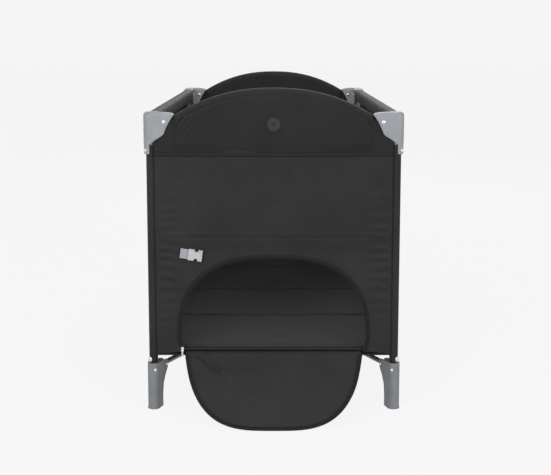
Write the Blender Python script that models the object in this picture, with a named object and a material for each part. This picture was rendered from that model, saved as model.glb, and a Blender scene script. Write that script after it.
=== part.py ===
"""Folding travel playpen: tube frame, hinged base, fabric walls, arched ends and a crawl-through door.

Metres, +Z up. The origin is on the ground under the centre hub; the end with the door faces -Y.
Every rail half and base tube turns through the same fold angle, so the posts keep their rectangle.
"""

import math

import bmesh
import bpy
from mathutils import Matrix, Vector

# Overall sizes, outside the corner brackets
WIDTH = 0.650
LENGTH = 1.250
RAIL_Z = 0.740
ARCH_TOP = 0.825

# Running gaps
GAP = 0.0003
SWING_GAP = 0.0005

# Steel tubes and their pins
POST_RADIUS = 0.008
POST_WALL = 0.0012
RAIL_RADIUS = 0.008
RAIL_WALL = 0.0010
RAIL_OVERHANG = 0.006
BASE_RADIUS = 0.0065
BASE_WALL = 0.0010
BASE_OVERHANG = 0.008
PIN_RADIUS = 0.003

# Folding frame: distances of the pins from the post axes and from the middle
CORNER_PIVOT = 0.029
SHORT_LATCH_PIN = 0.016
FOOT_PIVOT = 0.045
BASE_Z = 0.105

# Corner brackets
BRACKET_RAIL_PLAY = 0.004
BRACKET_PANEL_PLAY = 0.0015
BRACKET_WALL = 0.0045
BRACKET_REACH = 0.060
BRACKET_TOP = 0.0245
BRACKET_DROP = 0.054
BRACKET_TIP = 0.0165
BRACKET_TAB = 0.026
BRACKET_TAB_THICKNESS = 0.0058
BRACKET_TAB_ANGLE = math.radians(42)
SOCKET_TOP = 0.005

# Feet
FOOT_HEIGHT = 0.121
FOOT_NOSE = 0.0155
FOOT_CHEEK = 0.0031
FOOT_PLAY = 0.0004
FOOT_LIP = 0.0010
FOOT_SOLE = 0.020

# Hub
HUB_RIM = 0.0205
HUB_FLOOR = 0.088
HUB_ROOF = 0.004
HUB_TOP_RADIUS = 0.050
HUB_LEG_RADIUS = 0.021
HUB_PAD_RADIUS = 0.034
HUB_PAD_HEIGHT = 0.006
HUB_SLOT_PLAY = 0.0005
STRAP_LENGTH = 0.090
STRAP_WIDTH = 0.025
STRAP_SLIT = 0.0008

# Rail latches and their buttons
LATCH_WALL = 0.003
LATCH_PLAY = 0.0006
LATCH_ROOF = 0.0038
LATCH_SKIRT = 0.016
LATCH_END = 0.012
BUTTON_TRAVEL = 0.004
BUTTON_HEAD = 0.005
BUTTON_STEM = 0.003
LATCH_BLOCK_BOTTOM = 0.002

# Fabric
FABRIC = 0.0015
PANEL_THICKNESS = 0.003
PANEL_BOTTOM = 0.146
SEAM_Z = 0.660
PAD_COVER = 0.0054
SLEEVE_COVER = 0.0043
SLEEVE_ROOF = 0.0067
SLEEVE_FLOOR = 0.0037
WINDOW_HALF = 0.500
WINDOW_LOW = 0.300
WINDOW_HIGH = 0.640
WINDOW_CORNER = 0.060
NET_THICKNESS = 0.0012

# Floor and mattress
FLOOR_TOP = 0.1442
FLOOR_THICKNESS = 0.0027
MATTRESS_TOP = 0.160
MATTRESS_MARGIN_X = 0.0185
MATTRESS_MARGIN_Y = 0.0055
MATTRESS_SEAM = 0.0006
SECTION_COUNT = 4

# Door, its flap and fittings
DOOR_HALF = 0.237
DOOR_SILL_HALF = 0.2285
DOOR_SILL = 0.155
DOOR_WAIST = 0.185
DOOR_TOP = 0.396
DOOR_POWER = 2.6
FLAP_HALF = DOOR_SILL_HALF - 0.005
FLAP_REACH = 0.149
FLAP_THICKNESS = 0.003
FLAP_POWER = 2.45
FLAP_HINGE_Z = DOOR_SILL - 0.0015
BADGE_RADIUS = 0.021
BADGE_Z = 0.735
BADGE_THICKNESS = 0.002
SLIDER_X = -DOOR_HALF + 0.004
SLIDER_Z = DOOR_SILL + 0.0035
SLIDER_WIDTH = 0.007
SLIDER_HEIGHT = 0.012
SLIDER_DEPTH = 0.0045
PULL_EYE = 0.0019
PULL_LENGTH = 0.016
PULL_PIN = 0.0007
PULL_CLEARANCE = 0.0003
WEBBING_X = -DOOR_HALF + 0.0013
WEBBING_Z = DOOR_TOP + 0.0138
WEBBING_LENGTH = 0.030
WEBBING_WIDTH = 0.025
WEBBING_THICKNESS = 0.0016
WEBBING_TILT = math.radians(8)
BUCKLE_LENGTH = 0.035
BUCKLE_WIDTH = 0.028
BUCKLE_DEPTH = 0.0095
BUCKLE_WALL = 0.002

# Worked out from the sizes above
PANEL_IN = POST_RADIUS - 0.0005
PANEL_OUT = PANEL_IN + PANEL_THICKNESS
BRACKET_CAVITY = max(RAIL_RADIUS + BRACKET_RAIL_PLAY, PANEL_OUT + BRACKET_PANEL_PLAY)
BRACKET_HALF = BRACKET_CAVITY + BRACKET_WALL
POST_X = WIDTH / 2 - BRACKET_HALF
POST_Y = LENGTH / 2 - BRACKET_HALF
DIAGONAL = math.hypot(POST_X, POST_Y)
LONG_LATCH_PIN = POST_Y / POST_X * (CORNER_PIVOT + SHORT_LATCH_PIN) - CORNER_PIVOT
HUB_PIVOT = (CORNER_PIVOT + SHORT_LATCH_PIN) * DIAGONAL / POST_X - FOOT_PIVOT
SHORT_HALF = POST_X - CORNER_PIVOT - SHORT_LATCH_PIN
LONG_HALF = POST_Y - CORNER_PIVOT - LONG_LATCH_PIN
BASE_LENGTH = DIAGONAL - FOOT_PIVOT - HUB_PIVOT
RAIL_SWEEP = math.hypot(RAIL_RADIUS, RAIL_OVERHANG)
BASE_SWEEP = math.hypot(BASE_RADIUS, BASE_OVERHANG)
CAVITY_START = CORNER_PIVOT - RAIL_SWEEP - 0.0023
SLEEVE_INNER = POST_RADIUS + GAP
SLEEVE_OUTER = SLEEVE_INNER + FABRIC
FOOT_LUG = BASE_RADIUS + FOOT_PLAY
FOOT_TIP = FOOT_LUG + FOOT_CHEEK
LATCH_CAVITY = RAIL_RADIUS + LATCH_PLAY
LATCH_HALF = LATCH_CAVITY + LATCH_WALL
LATCH_CEILING = RAIL_SWEEP + 0.0007
LATCH_TOP = LATCH_CEILING + LATCH_ROOF
HUB_RADIUS = HUB_PIVOT + HUB_RIM
HUB_TOP = FLOOR_TOP - FLOOR_THICKNESS - GAP
PANEL_FACE = -(POST_Y + PANEL_OUT)

CORNERS = {
    "front_left": (-1, -1),
    "front_right": (1, -1),
    "back_left": (-1, 1),
    "back_right": (1, 1),
}

# Colour, roughness and metallic value of each finish
FINISHES = {
    "grey_plastic": ((0.33, 0.35, 0.37), 0.45, 0.0),
    "grey_steel": ((0.13, 0.14, 0.15), 0.40, 0.9),
    "black_fabric": ((0.026, 0.026, 0.026), 0.85, 0.0),
    "black_foam": ((0.028, 0.028, 0.028), 0.90, 0.0),
    "black_net": ((0.020, 0.020, 0.020), 0.80, 0.0),
    "black_plastic": ((0.030, 0.030, 0.030), 0.50, 0.0),
    "bright_metal": ((0.60, 0.60, 0.60), 0.25, 1.0),
    "light_plastic": ((0.46, 0.46, 0.48), 0.40, 0.0),
    "grey_webbing": ((0.26, 0.26, 0.30), 0.80, 0.0),
}


def clear_scene():
    """Remove every object."""
    for item in list(bpy.data.objects):
        bpy.data.objects.remove(item, do_unlink=True)


# ---- shapes ----

def block(low, high):
    """A box between two corners."""
    shape = bmesh.new()
    bmesh.ops.create_cube(shape, size=1.0)
    low = Vector(low)
    high = Vector(high)
    bmesh.ops.scale(shape, vec=high - low, verts=shape.verts)
    bmesh.ops.translate(shape, vec=(low + high) / 2, verts=shape.verts)
    return shape


def rod(start, end, radius, sides=12):
    """A round bar between two points."""
    shape = bmesh.new()
    start = Vector(start)
    end = Vector(end)
    run = end - start
    turn = run.to_track_quat("Z", "Y").to_matrix().to_4x4()
    place = Matrix.Translation((start + end) / 2) @ turn
    bmesh.ops.create_cone(shape, cap_ends=True, segments=sides, radius1=radius, radius2=radius,
                          depth=run.length, matrix=place)
    return shape


def turned(profile, sides):
    """A closed profile of (radius, z) points turned once round Z."""
    shape = bmesh.new()
    points = [shape.verts.new((radius, 0, z)) for radius, z in profile]
    edges = [shape.edges.new((points[i - 1], points[i])) for i in range(len(points))]
    bmesh.ops.spin(shape, geom=points + edges, cent=(0, 0, 0), axis=(0, 0, 1),
                   angle=math.tau, steps=sides, use_merge=True)
    bmesh.ops.remove_doubles(shape, verts=shape.verts, dist=0.00001)
    bmesh.ops.dissolve_degenerate(shape, edges=shape.edges, dist=0.00001)
    bmesh.ops.recalc_face_normals(shape, faces=shape.faces)
    return shape


def pipe(length, outer, wall, overhang, sides):
    """A tube along +X whose ends reach past x = 0 and x = length."""
    inner = outer - wall
    run = length + 2 * overhang
    shape = turned([(inner, 0), (outer, 0), (outer, run), (inner, run)], sides)
    place = Matrix.Translation((-overhang, 0, 0)) @ Matrix.Rotation(math.pi / 2, 4, "Y")
    bmesh.ops.transform(shape, matrix=place, verts=shape.verts)
    return shape


def slab(outline, axis, low, high):
    """An outline in the plane square to axis, made solid from low to high along it."""
    order = {"X": lambda a, b, h: (h, a, b), "Y": lambda a, b, h: (a, h, b), "Z": lambda a, b, h: (a, b, h)}
    shape = bmesh.new()
    face = shape.faces.new([shape.verts.new(order[axis](a, b, low)) for a, b in outline])
    raised = bmesh.ops.extrude_face_region(shape, geom=[face])
    moved = [item for item in raised["geom"] if isinstance(item, bmesh.types.BMVert)]
    bmesh.ops.translate(shape, vec=order[axis](0, 0, high - low), verts=moved)
    bmesh.ops.recalc_face_normals(shape, faces=shape.faces)
    return shape


def turn(shape, angle, axis="Z", centre=(0, 0, 0)):
    """Turn a shape round an axis through centre."""
    bmesh.ops.rotate(shape, cent=centre, matrix=Matrix.Rotation(angle, 3, axis), verts=shape.verts)
    return shape


def shift(shape, offset):
    """Move a shape."""
    bmesh.ops.translate(shape, vec=offset, verts=shape.verts)
    return shape


def arc(centre, radius, start, end, steps):
    """Points on an arc, angles in radians, both ends included."""
    points = []
    for i in range(steps + 1):
        angle = start + (end - start) * i / steps
        points.append((centre[0] + radius * math.cos(angle), centre[1] + radius * math.sin(angle)))
    return points


def mesh_from(shape):
    """Turn a bmesh into a mesh."""
    mesh = bpy.data.meshes.new("shape")
    shape.to_mesh(mesh)
    shape.free()
    return mesh


def carve(body, steps):
    """Apply ("UNION" | "DIFFERENCE" | "INTERSECT", shape) steps to a body and return the mesh."""
    target = bpy.data.objects.new("target", mesh_from(body))
    bpy.context.scene.collection.objects.link(target)
    tools = []
    for operation, shape in steps:
        tool = bpy.data.objects.new("tool", mesh_from(shape))
        bpy.context.scene.collection.objects.link(tool)
        tool.hide_render = True
        tool.display_type = "WIRE"
        tools.append(tool)
        modifier = target.modifiers.new(operation, "BOOLEAN")
        modifier.operation = operation
        modifier.object = tool
        modifier.solver = "EXACT"
    depsgraph = bpy.context.evaluated_depsgraph_get()
    result = bpy.data.meshes.new_from_object(target.evaluated_get(depsgraph))
    for item in tools + [target]:
        bpy.data.objects.remove(item, do_unlink=True)
    return result


# ---- objects ----

def pivot(name, location):
    """An empty on a joint's axis, which carries the pieces that move with it."""
    empty = bpy.data.objects.new(name, None)
    empty.location = location
    empty.empty_display_size = 0.03
    bpy.context.scene.collection.objects.link(empty)
    return empty


def add(name, mesh, finish, carrier, location=(0, 0, 0), angle=0.0):
    """Place a mesh as a named object on its carrier; location is in the object's own frame at rest."""
    item = bpy.data.objects.new(name, mesh.copy())
    colour, roughness, metallic = FINISHES[finish]
    material = bpy.data.materials.new(name + "_" + finish)
    material.use_nodes = True
    shader = material.node_tree.nodes["Principled BSDF"]
    shader.inputs["Base Color"].default_value = (*colour, 1.0)
    shader.inputs["Roughness"].default_value = roughness
    shader.inputs["Metallic"].default_value = metallic
    material.diffuse_color = (*colour, 1.0)
    item.data.materials.clear()
    item.data.materials.append(material)
    item.data.shade_smooth()
    item.data.set_sharp_from_angle(angle=math.radians(35))
    item.parent = carrier
    item.location = Vector(location) - carrier.location
    item.rotation_euler = (0, 0, angle)
    bpy.context.scene.collection.objects.link(item)
    return item


# ---- frame ----

def corner_angle(corner):
    """Turn that brings a part with arms along +X and +Y to this corner."""
    turns = {"front_left": 0.0, "front_right": math.pi / 2, "back_right": math.pi, "back_left": -math.pi / 2}
    return turns[corner]


def inward(corner):
    """Unit vector from a post towards the hub."""
    sx, sy = CORNERS[corner]
    return Vector((-sx * POST_X, -sy * POST_Y, 0)) / DIAGONAL


def post_centre(corner):
    """Post axis on the ground."""
    sx, sy = CORNERS[corner]
    return Vector((sx * POST_X, sy * POST_Y, 0))


def foot_pin(corner):
    """Centre of the pin that joins a base tube to its foot."""
    return post_centre(corner) + inward(corner) * FOOT_PIVOT + Vector((0, 0, BASE_Z))


def hub_pin(corner):
    """Centre of the pin that joins a base tube to the hub."""
    return -inward(corner) * HUB_PIVOT + Vector((0, 0, BASE_Z))


def wing_outline():
    """Side view of one bracket wing: x from the post axis, z."""
    top = RAIL_Z + BRACKET_TOP
    low = RAIL_Z - BRACKET_DROP
    reach = BRACKET_REACH
    return [
        (0, low),
        (reach * 0.27, low + 0.0105),
        (reach * 0.49, low + 0.0185),
        (reach * 0.59, low + 0.0240),
        (reach * 0.69, low + 0.0395),
        (reach * 0.80, low + 0.0525),
        (reach * 0.92, RAIL_Z + BRACKET_TIP - 0.0065),
        (reach, RAIL_Z + BRACKET_TIP),
        (reach * 0.95, RAIL_Z + BRACKET_TIP + 0.0040),
        (reach * 0.72, top - 0.0012),
        (reach * 0.45, top),
        (0, top),
    ]


def bracket_mesh():
    """Moulded corner: post socket, two open channels with rail pins, and a tab down the post."""
    top = RAIL_Z + BRACKET_TOP
    low = RAIL_Z - BRACKET_DROP
    half = BRACKET_HALF
    corner = turned([(0, low), (half, low), (half, top - 0.013), (half * 0.88, top - 0.005),
                     (half * 0.5, top), (0, top)], 24)
    steps = []
    for angle in (0, math.pi / 2):
        wing = slab(wing_outline(), "Y", -half, half)
        steps.append(("UNION", turn(wing, angle)))
    for angle in (0, math.pi / 2):
        channel = block((CAVITY_START, -BRACKET_CAVITY, low - 0.02),
                        (BRACKET_REACH + 0.02, BRACKET_CAVITY, RAIL_Z + RAIL_SWEEP + SWING_GAP))
        steps.append(("DIFFERENCE", turn(channel, angle)))
    for angle in (0, math.pi / 2):
        reach = BRACKET_CAVITY + BRACKET_WALL / 2
        pin = rod((CORNER_PIVOT, -reach, RAIL_Z), (CORNER_PIVOT, reach, RAIL_Z), PIN_RADIUS)
        steps.append(("UNION", turn(pin, angle)))
    inner = SLEEVE_OUTER + 0.0004
    outer = inner + BRACKET_TAB_THICKNESS
    middle = math.radians(225)
    tab = (arc((0, 0), outer, middle - BRACKET_TAB_ANGLE, middle + BRACKET_TAB_ANGLE, 6)
           + arc((0, 0), inner, middle + BRACKET_TAB_ANGLE, middle - BRACKET_TAB_ANGLE, 4))
    steps.append(("UNION", slab(tab, "Z", low - BRACKET_TAB, low + 0.004)))
    socket = rod((0, 0, low - 0.002), (0, 0, RAIL_Z + SOCKET_TOP), SLEEVE_INNER, 20)
    steps.append(("DIFFERENCE", socket))
    return carve(corner, steps)


def foot_mesh():
    """Foot with a post socket and a forked lug for the base tube; +X points to the hub."""
    tip = 0.048
    lean = math.asin((FOOT_NOSE - FOOT_TIP) / tip)
    plan = (arc((0, 0), FOOT_NOSE, math.pi / 2 - lean, 3 * math.pi / 2 + lean, 12)
            + arc((tip, 0), FOOT_TIP, -math.pi / 2 + lean, math.pi / 2 - lean, 6))
    side = [
        (-0.030, -0.01),
        (0.0230, -0.01),
        (0.0225, 0.030),
        (0.0265, 0.058),
        (0.0370, 0.078),
        (0.0500, BASE_Z - 0.0115),
        (0.0700, BASE_Z - 0.004),
        (0.0700, BASE_Z + 0.004),
        (FOOT_PIVOT + 0.007, BASE_Z + 0.0105),
        (FOOT_PIVOT, BASE_Z + 0.013),
        (0.018, FOOT_HEIGHT),
        (-0.030, FOOT_HEIGHT),
    ]
    slot = block((FOOT_PIVOT - BASE_SWEEP - SWING_GAP, -FOOT_LUG, BASE_Z - BASE_SWEEP - SWING_GAP),
                 (0.09, FOOT_LUG, FOOT_HEIGHT + 0.02))
    reach = FOOT_LUG + FOOT_CHEEK / 2
    pin = rod((FOOT_PIVOT, -reach, BASE_Z), (FOOT_PIVOT, reach, BASE_Z), PIN_RADIUS)
    return carve(slab(plan, "Z", 0, FOOT_HEIGHT + 0.01), [
        ("INTERSECT", slab(side, "Y", -0.03, 0.03)),
        ("UNION", rod((0, 0, 0), (0, 0, 0.004), FOOT_NOSE + FOOT_LIP, 24)),
        ("DIFFERENCE", slot),
        ("UNION", pin),
        ("DIFFERENCE", rod((0, 0, FOOT_SOLE), (0, 0, FOOT_HEIGHT + 0.02), SLEEVE_INNER, 20)),
    ])


def link_mesh(length, radius, wall, overhang, sides):
    """A tube with a cross hole for a pin at x = 0 and at x = length."""
    steps = []
    for x in (0, length):
        hole = rod((x, -radius - 0.002, 0), (x, radius + 0.002, 0), PIN_RADIUS + GAP)
        steps.append(("DIFFERENCE", hole))
    return carve(pipe(length, radius, wall, overhang, sides), steps)


def hub_mesh():
    """Centre hub: four slots open below, a pin in each, a leg to the ground and a flat top."""
    ceiling = BASE_Z + BASE_SWEEP + SWING_GAP
    roof = ceiling + HUB_ROOF
    body = turned([(0, 0), (HUB_PAD_RADIUS, 0), (HUB_PAD_RADIUS, HUB_PAD_HEIGHT),
                   (HUB_LEG_RADIUS, HUB_PAD_HEIGHT + 0.012), (HUB_LEG_RADIUS, HUB_FLOOR),
                   (HUB_RADIUS, HUB_FLOOR), (HUB_RADIUS, roof - 0.004), (HUB_RADIUS - 0.004, roof),
                   (HUB_TOP_RADIUS, HUB_TOP - 0.006), (HUB_TOP_RADIUS - 0.006, HUB_TOP), (0, HUB_TOP)], 28)
    steps = []
    half = BASE_RADIUS + HUB_SLOT_PLAY
    start = HUB_PIVOT - BASE_SWEEP - SWING_GAP
    for corner in CORNERS:
        angle = math.atan2(-inward(corner).y, -inward(corner).x)
        slot = block((start, -half, HUB_FLOOR - 0.01), (HUB_RADIUS + 0.02, half, ceiling))
        steps.append(("DIFFERENCE", turn(slot, angle)))
    for corner in CORNERS:
        angle = math.atan2(-inward(corner).y, -inward(corner).x)
        pin = rod((HUB_PIVOT, -half - 0.003, BASE_Z), (HUB_PIVOT, half + 0.003, BASE_Z), PIN_RADIUS)
        steps.append(("UNION", turn(pin, angle)))
    return carve(body, steps)


def strap_mesh():
    """Pull strap: a flat webbing loop lying on the hub."""
    half = STRAP_LENGTH / 2
    middle = (HUB_TOP + GAP + FLOOR_TOP) / 2
    thick = (FLOOR_TOP - HUB_TOP - GAP) / 2
    loop = (arc((half - thick, middle), thick, -math.pi / 2, math.pi / 2, 4)
            + arc((-half + thick, middle), thick, math.pi / 2, 3 * math.pi / 2, 4))
    slit = block((-half + 0.004, -STRAP_WIDTH, middle - STRAP_SLIT / 2),
                 (half - 0.004, STRAP_WIDTH, middle + STRAP_SLIT / 2))
    return carve(slab(loop, "Y", -STRAP_WIDTH / 2, STRAP_WIDTH / 2), [("DIFFERENCE", slit)])


def latch_block_half(pin):
    """Half length of the guide block between the two tube ends."""
    return min(pin - RAIL_SWEEP - 0.0004, 0.012)


def latch_mesh(pin):
    """Rail lock: a trough open above with a pin for each rail half and a guide for the button."""
    end = pin + LATCH_END
    guide = latch_block_half(pin)
    steps = [
        ("DIFFERENCE", block((-end - 0.01, -LATCH_CAVITY, -LATCH_CEILING),
                             (end + 0.01, LATCH_CAVITY, LATCH_TOP + 0.01))),
        ("DIFFERENCE", block((-guide, -LATCH_CAVITY, -LATCH_SKIRT - 0.01),
                             (guide, LATCH_CAVITY, -LATCH_CEILING + 0.001))),
        ("UNION", block((-guide, -LATCH_CAVITY - 0.001, -LATCH_BLOCK_BOTTOM),
                        (guide, LATCH_CAVITY + 0.001, LATCH_TOP))),
    ]
    for x in (-pin, pin):
        reach = LATCH_CAVITY + LATCH_WALL / 2
        steps.append(("UNION", rod((x, -reach, 0), (x, reach, 0), PIN_RADIUS)))
    well = rod((0, 0, -0.01), (0, 0, LATCH_CEILING), BUTTON_STEM + GAP, 14)
    steps.append(("DIFFERENCE", well))
    shell = block((-end, -LATCH_HALF, -LATCH_SKIRT), (end, LATCH_HALF, LATCH_TOP))
    return carve(shell, steps)


def button_mesh():
    """Release button: a flat head with a stem that slides in the latch."""
    top = -LATCH_BLOCK_BOTTOM - BUTTON_TRAVEL - SWING_GAP
    head = block((-0.0050, -0.0075, top - BUTTON_HEAD), (0.0050, 0.0075, top))
    stem_top = LATCH_CEILING - BUTTON_TRAVEL - SWING_GAP
    stem = rod((0, 0, top - 0.002), (0, 0, stem_top), BUTTON_STEM, 12)
    return carve(head, [("UNION", stem)])


# ---- fabric ----

def shoulder(reach):
    """Half outline of an end or side panel between its posts, from the middle of its top outwards."""
    ear = RAIL_Z - RAIL_RADIUS - 0.004
    low = RAIL_Z - BRACKET_DROP - 0.003
    return reach - CAVITY_START - 0.0013, ear, low


def arch_z(x):
    """Height of an end's arched edge at x."""
    half = POST_X - BRACKET_REACH
    spring = RAIL_Z + 0.017
    share = min(abs(x) / half, 1.0)
    return spring + (ARCH_TOP - spring) * (1 - share ** 2.25)


def door_outline():
    """Edge of the crawl-through door, x and z."""
    points = [(DOOR_SILL_HALF, DOOR_SILL)]
    steps = 22
    for i in range(steps + 1):
        angle = math.pi * i / steps
        across = math.copysign(abs(math.cos(angle)) ** (2 / DOOR_POWER), math.cos(angle))
        up = math.sin(angle) ** (2 / DOOR_POWER)
        points.append((DOOR_HALF * across, DOOR_WAIST + (DOOR_TOP - DOOR_WAIST) * up))
    points.append((-DOOR_SILL_HALF, DOOR_SILL))
    return points


def end_panel_mesh(side, with_door):
    """End wall in one piece with the two post sleeves; side is -1 at the front and 1 at the back."""
    ear_x, ear_z, low_z = shoulder(POST_X)
    edge = POST_X - POST_RADIUS / 2
    notch = POST_X - BRACKET_REACH
    right = [(edge, PANEL_BOTTOM), (edge, low_z), (ear_x, low_z),
             (ear_x, ear_z), (notch, ear_z), (notch, SEAM_Z)]
    outline = right + [(-x, z) for x, z in reversed(right)]
    near = side * (POST_Y + PANEL_IN)
    far = side * (POST_Y + PANEL_OUT)
    steps = []
    for x in (-POST_X, POST_X):
        sleeve = turned([(SLEEVE_INNER, FOOT_HEIGHT + 0.0005), (SLEEVE_OUTER, FOOT_HEIGHT + 0.0005),
                         (SLEEVE_OUTER, low_z), (SLEEVE_INNER, low_z)], 20)
        steps.append(("UNION", shift(sleeve, (x, side * POST_Y, 0))))
    if with_door:
        low, high = sorted((near, far))
        steps.append(("DIFFERENCE", slab(door_outline(), "Y", low - 0.01, high + 0.01)))
    low, high = sorted((near, far))
    return carve(slab(outline, "Y", low, high), steps)


def arch_pad_mesh(side):
    """Padded arch over an end rail, with a tunnel for the rail and its lock."""
    half = POST_X - BRACKET_REACH - GAP
    outline = [(-half, SEAM_Z + GAP), (half, SEAM_Z + GAP)]
    steps = 20
    for i in range(steps + 1):
        x = half - 2 * half * i / steps
        outline.append((x, arch_z(x)))
    thick = LATCH_HALF + PAD_COVER
    tunnel = block((-1, -LATCH_HALF - 0.0006, RAIL_Z - LATCH_SKIRT - 0.0008),
                   (1, LATCH_HALF + 0.0006, RAIL_Z + LATCH_TOP + GAP))
    mesh = carve(slab(outline, "Y", -thick, thick), [("DIFFERENCE", tunnel)])
    mesh.transform(Matrix.Translation((0, side * POST_Y, 0)))
    return mesh


def rail_sleeve_mesh(side):
    """Padded sleeve on a long rail."""
    half = POST_Y - BRACKET_REACH - GAP
    wide = LATCH_HALF + SLEEVE_COVER + 0.0006
    low = RAIL_Z - LATCH_SKIRT - 0.0008 - SLEEVE_FLOOR
    high = RAIL_Z + LATCH_TOP + GAP + SLEEVE_ROOF
    corner = 0.009
    outline = (arc((wide - corner, low + corner), corner, -math.pi / 2, 0, 3)
               + arc((wide - corner, high - corner), corner, 0, math.pi / 2, 3)
               + arc((-wide + corner, high - corner), corner, math.pi / 2, math.pi, 3)
               + arc((-wide + corner, low + corner), corner, math.pi, 3 * math.pi / 2, 3))
    tunnel = block((-LATCH_HALF - 0.0006, -1, RAIL_Z - LATCH_SKIRT - 0.0008),
                   (LATCH_HALF + 0.0006, 1, RAIL_Z + LATCH_TOP + GAP))
    mesh = carve(slab(outline, "Y", -half, half), [("DIFFERENCE", tunnel)])
    mesh.transform(Matrix.Translation((side * POST_X, 0, 0)))
    return mesh


def window_outline(inset):
    """Side window with round corners, y and z."""
    half = WINDOW_HALF - inset
    low = WINDOW_LOW + inset
    high = WINDOW_HIGH - inset
    corner = WINDOW_CORNER - inset
    return (arc((half - corner, low + corner), corner, -math.pi / 2, 0, 4)
            + arc((half - corner, high - corner), corner, 0, math.pi / 2, 4)
            + arc((-half + corner, high - corner), corner, math.pi / 2, math.pi, 4)
            + arc((-half + corner, low + corner), corner, math.pi, 3 * math.pi / 2, 4))


def side_wall_mesh(side):
    """Long fabric wall with the cut-out for its window."""
    ear_y, ear_z, low_z = shoulder(POST_Y)
    edge = POST_Y - math.sqrt((SLEEVE_OUTER + 0.0004) ** 2 - PANEL_IN ** 2)
    notch = POST_Y - BRACKET_REACH
    under = RAIL_Z - LATCH_SKIRT - 0.0008 - SLEEVE_FLOOR - GAP
    right = [(edge, PANEL_BOTTOM), (edge, low_z), (ear_y, low_z),
             (ear_y, ear_z), (notch, ear_z), (notch, under)]
    outline = right + [(-y, z) for y, z in reversed(right)]
    low, high = sorted((side * (POST_X + PANEL_IN), side * (POST_X + PANEL_OUT)))
    cut = slab(window_outline(0), "X", low - 0.01, high + 0.01)
    return carve(slab(outline, "X", low, high), [("DIFFERENCE", cut)])


def net_mesh(side):
    """Net that fills a side window."""
    middle = side * (POST_X + (PANEL_IN + PANEL_OUT) / 2)
    return mesh_from(slab(window_outline(GAP), "X", middle - NET_THICKNESS / 2, middle + NET_THICKNESS / 2))


def floor_mesh():
    """Fabric floor under the mattress, cut back from the posts, with a hole for the pull strap."""
    x = POST_X + PANEL_OUT - 0.001
    y = POST_Y + PANEL_OUT - 0.001
    line = POST_X + POST_Y - math.sqrt(2) * (SLEEVE_OUTER + 0.0008)
    quarter = [(x, line - x), (line - y, y)]
    outline = (quarter + [(-a, b) for a, b in reversed(quarter)]
               + [(-a, -b) for a, b in quarter] + [(a, -b) for a, b in reversed(quarter)])
    half_x = STRAP_LENGTH / 2 + 0.003
    half_y = STRAP_WIDTH / 2 + 0.002
    hole = block((-half_x, -half_y, FLOOR_TOP - 0.02), (half_x, half_y, FLOOR_TOP + 0.02))
    return carve(slab(outline, "Z", FLOOR_TOP - FLOOR_THICKNESS, FLOOR_TOP), [("DIFFERENCE", hole)])


def mattress_half():
    """Half width and half length of the mattress."""
    return POST_X - MATTRESS_MARGIN_X, POST_Y - MATTRESS_MARGIN_Y


def section_edges():
    """Y of the five edges of the four mattress sections."""
    half_y = mattress_half()[1]
    return [-half_y + 2 * half_y * i / SECTION_COUNT for i in range(SECTION_COUNT + 1)]


def mattress_section_mesh(index):
    """One padded board of the folding mattress."""
    half_x = mattress_half()[0]
    edges = section_edges()
    low = (-half_x, edges[index] + MATTRESS_SEAM, FLOOR_TOP + GAP)
    high = (half_x, edges[index + 1] - MATTRESS_SEAM, MATTRESS_TOP)
    return mesh_from(block(low, high))


# ---- door fittings ----

def flap_axis():
    """Hinge line of the door flap: y and z."""
    return PANEL_FACE - FLAP_THICKNESS / 2 - SWING_GAP, FLAP_HINGE_Z


def flap_mesh():
    """Door flap let down as a ramp from the sill to the ground."""
    hinge_y, hinge_z = flap_axis()
    drop = hinge_z - 0.0016
    length = math.hypot(FLAP_REACH, drop)
    slope = math.atan2(drop, FLAP_REACH)
    outline = []
    steps = 24
    for i in range(steps + 1):
        angle = math.pi * i / steps
        across = math.copysign(abs(math.cos(angle)) ** (2 / FLAP_POWER), math.cos(angle))
        outline.append((FLAP_HALF * across, -length * math.sin(angle) ** (2 / FLAP_POWER)))
    flap = slab(outline, "Z", -FLAP_THICKNESS / 2, FLAP_THICKNESS / 2)
    turn(flap, slope, "X")
    return mesh_from(shift(flap, (0, hinge_y, hinge_z)))


def badge_mesh():
    """Plain round patch on the arch."""
    face = -(POST_Y + LATCH_HALF + PAD_COVER) - GAP
    return mesh_from(rod((0, face, BADGE_Z), (0, face - BADGE_THICKNESS, BADGE_Z), BADGE_RADIUS, 28))


def pull_axis():
    """Pin of the zip pull: y and z."""
    return PANEL_FACE - GAP - SLIDER_DEPTH - 0.0005, SLIDER_Z - SLIDER_HEIGHT / 2 + 0.003


def slider_mesh():
    """Zip slider with two lugs and a pin for its pull."""
    back = PANEL_FACE - GAP
    half = SLIDER_WIDTH / 2
    axis_y, axis_z = pull_axis()
    body = block((SLIDER_X - half, back - SLIDER_DEPTH + 0.002, SLIDER_Z - SLIDER_HEIGHT / 2),
                 (SLIDER_X + half, back, SLIDER_Z + SLIDER_HEIGHT / 2))
    steps = []
    for sign in (-1, 1):
        outer = SLIDER_X + sign * half
        inner = SLIDER_X + sign * (half - 0.0012)
        low, high = sorted((outer, inner))
        lug = block((low, axis_y - 0.0016, axis_z - 0.0016), (high, back - 0.001, axis_z + 0.0016))
        steps.append(("UNION", lug))
    pin = rod((SLIDER_X - half + 0.0005, axis_y, axis_z),
              (SLIDER_X + half - 0.0005, axis_y, axis_z), PULL_PIN, 8)
    steps.append(("UNION", pin))
    return carve(body, steps)


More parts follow.
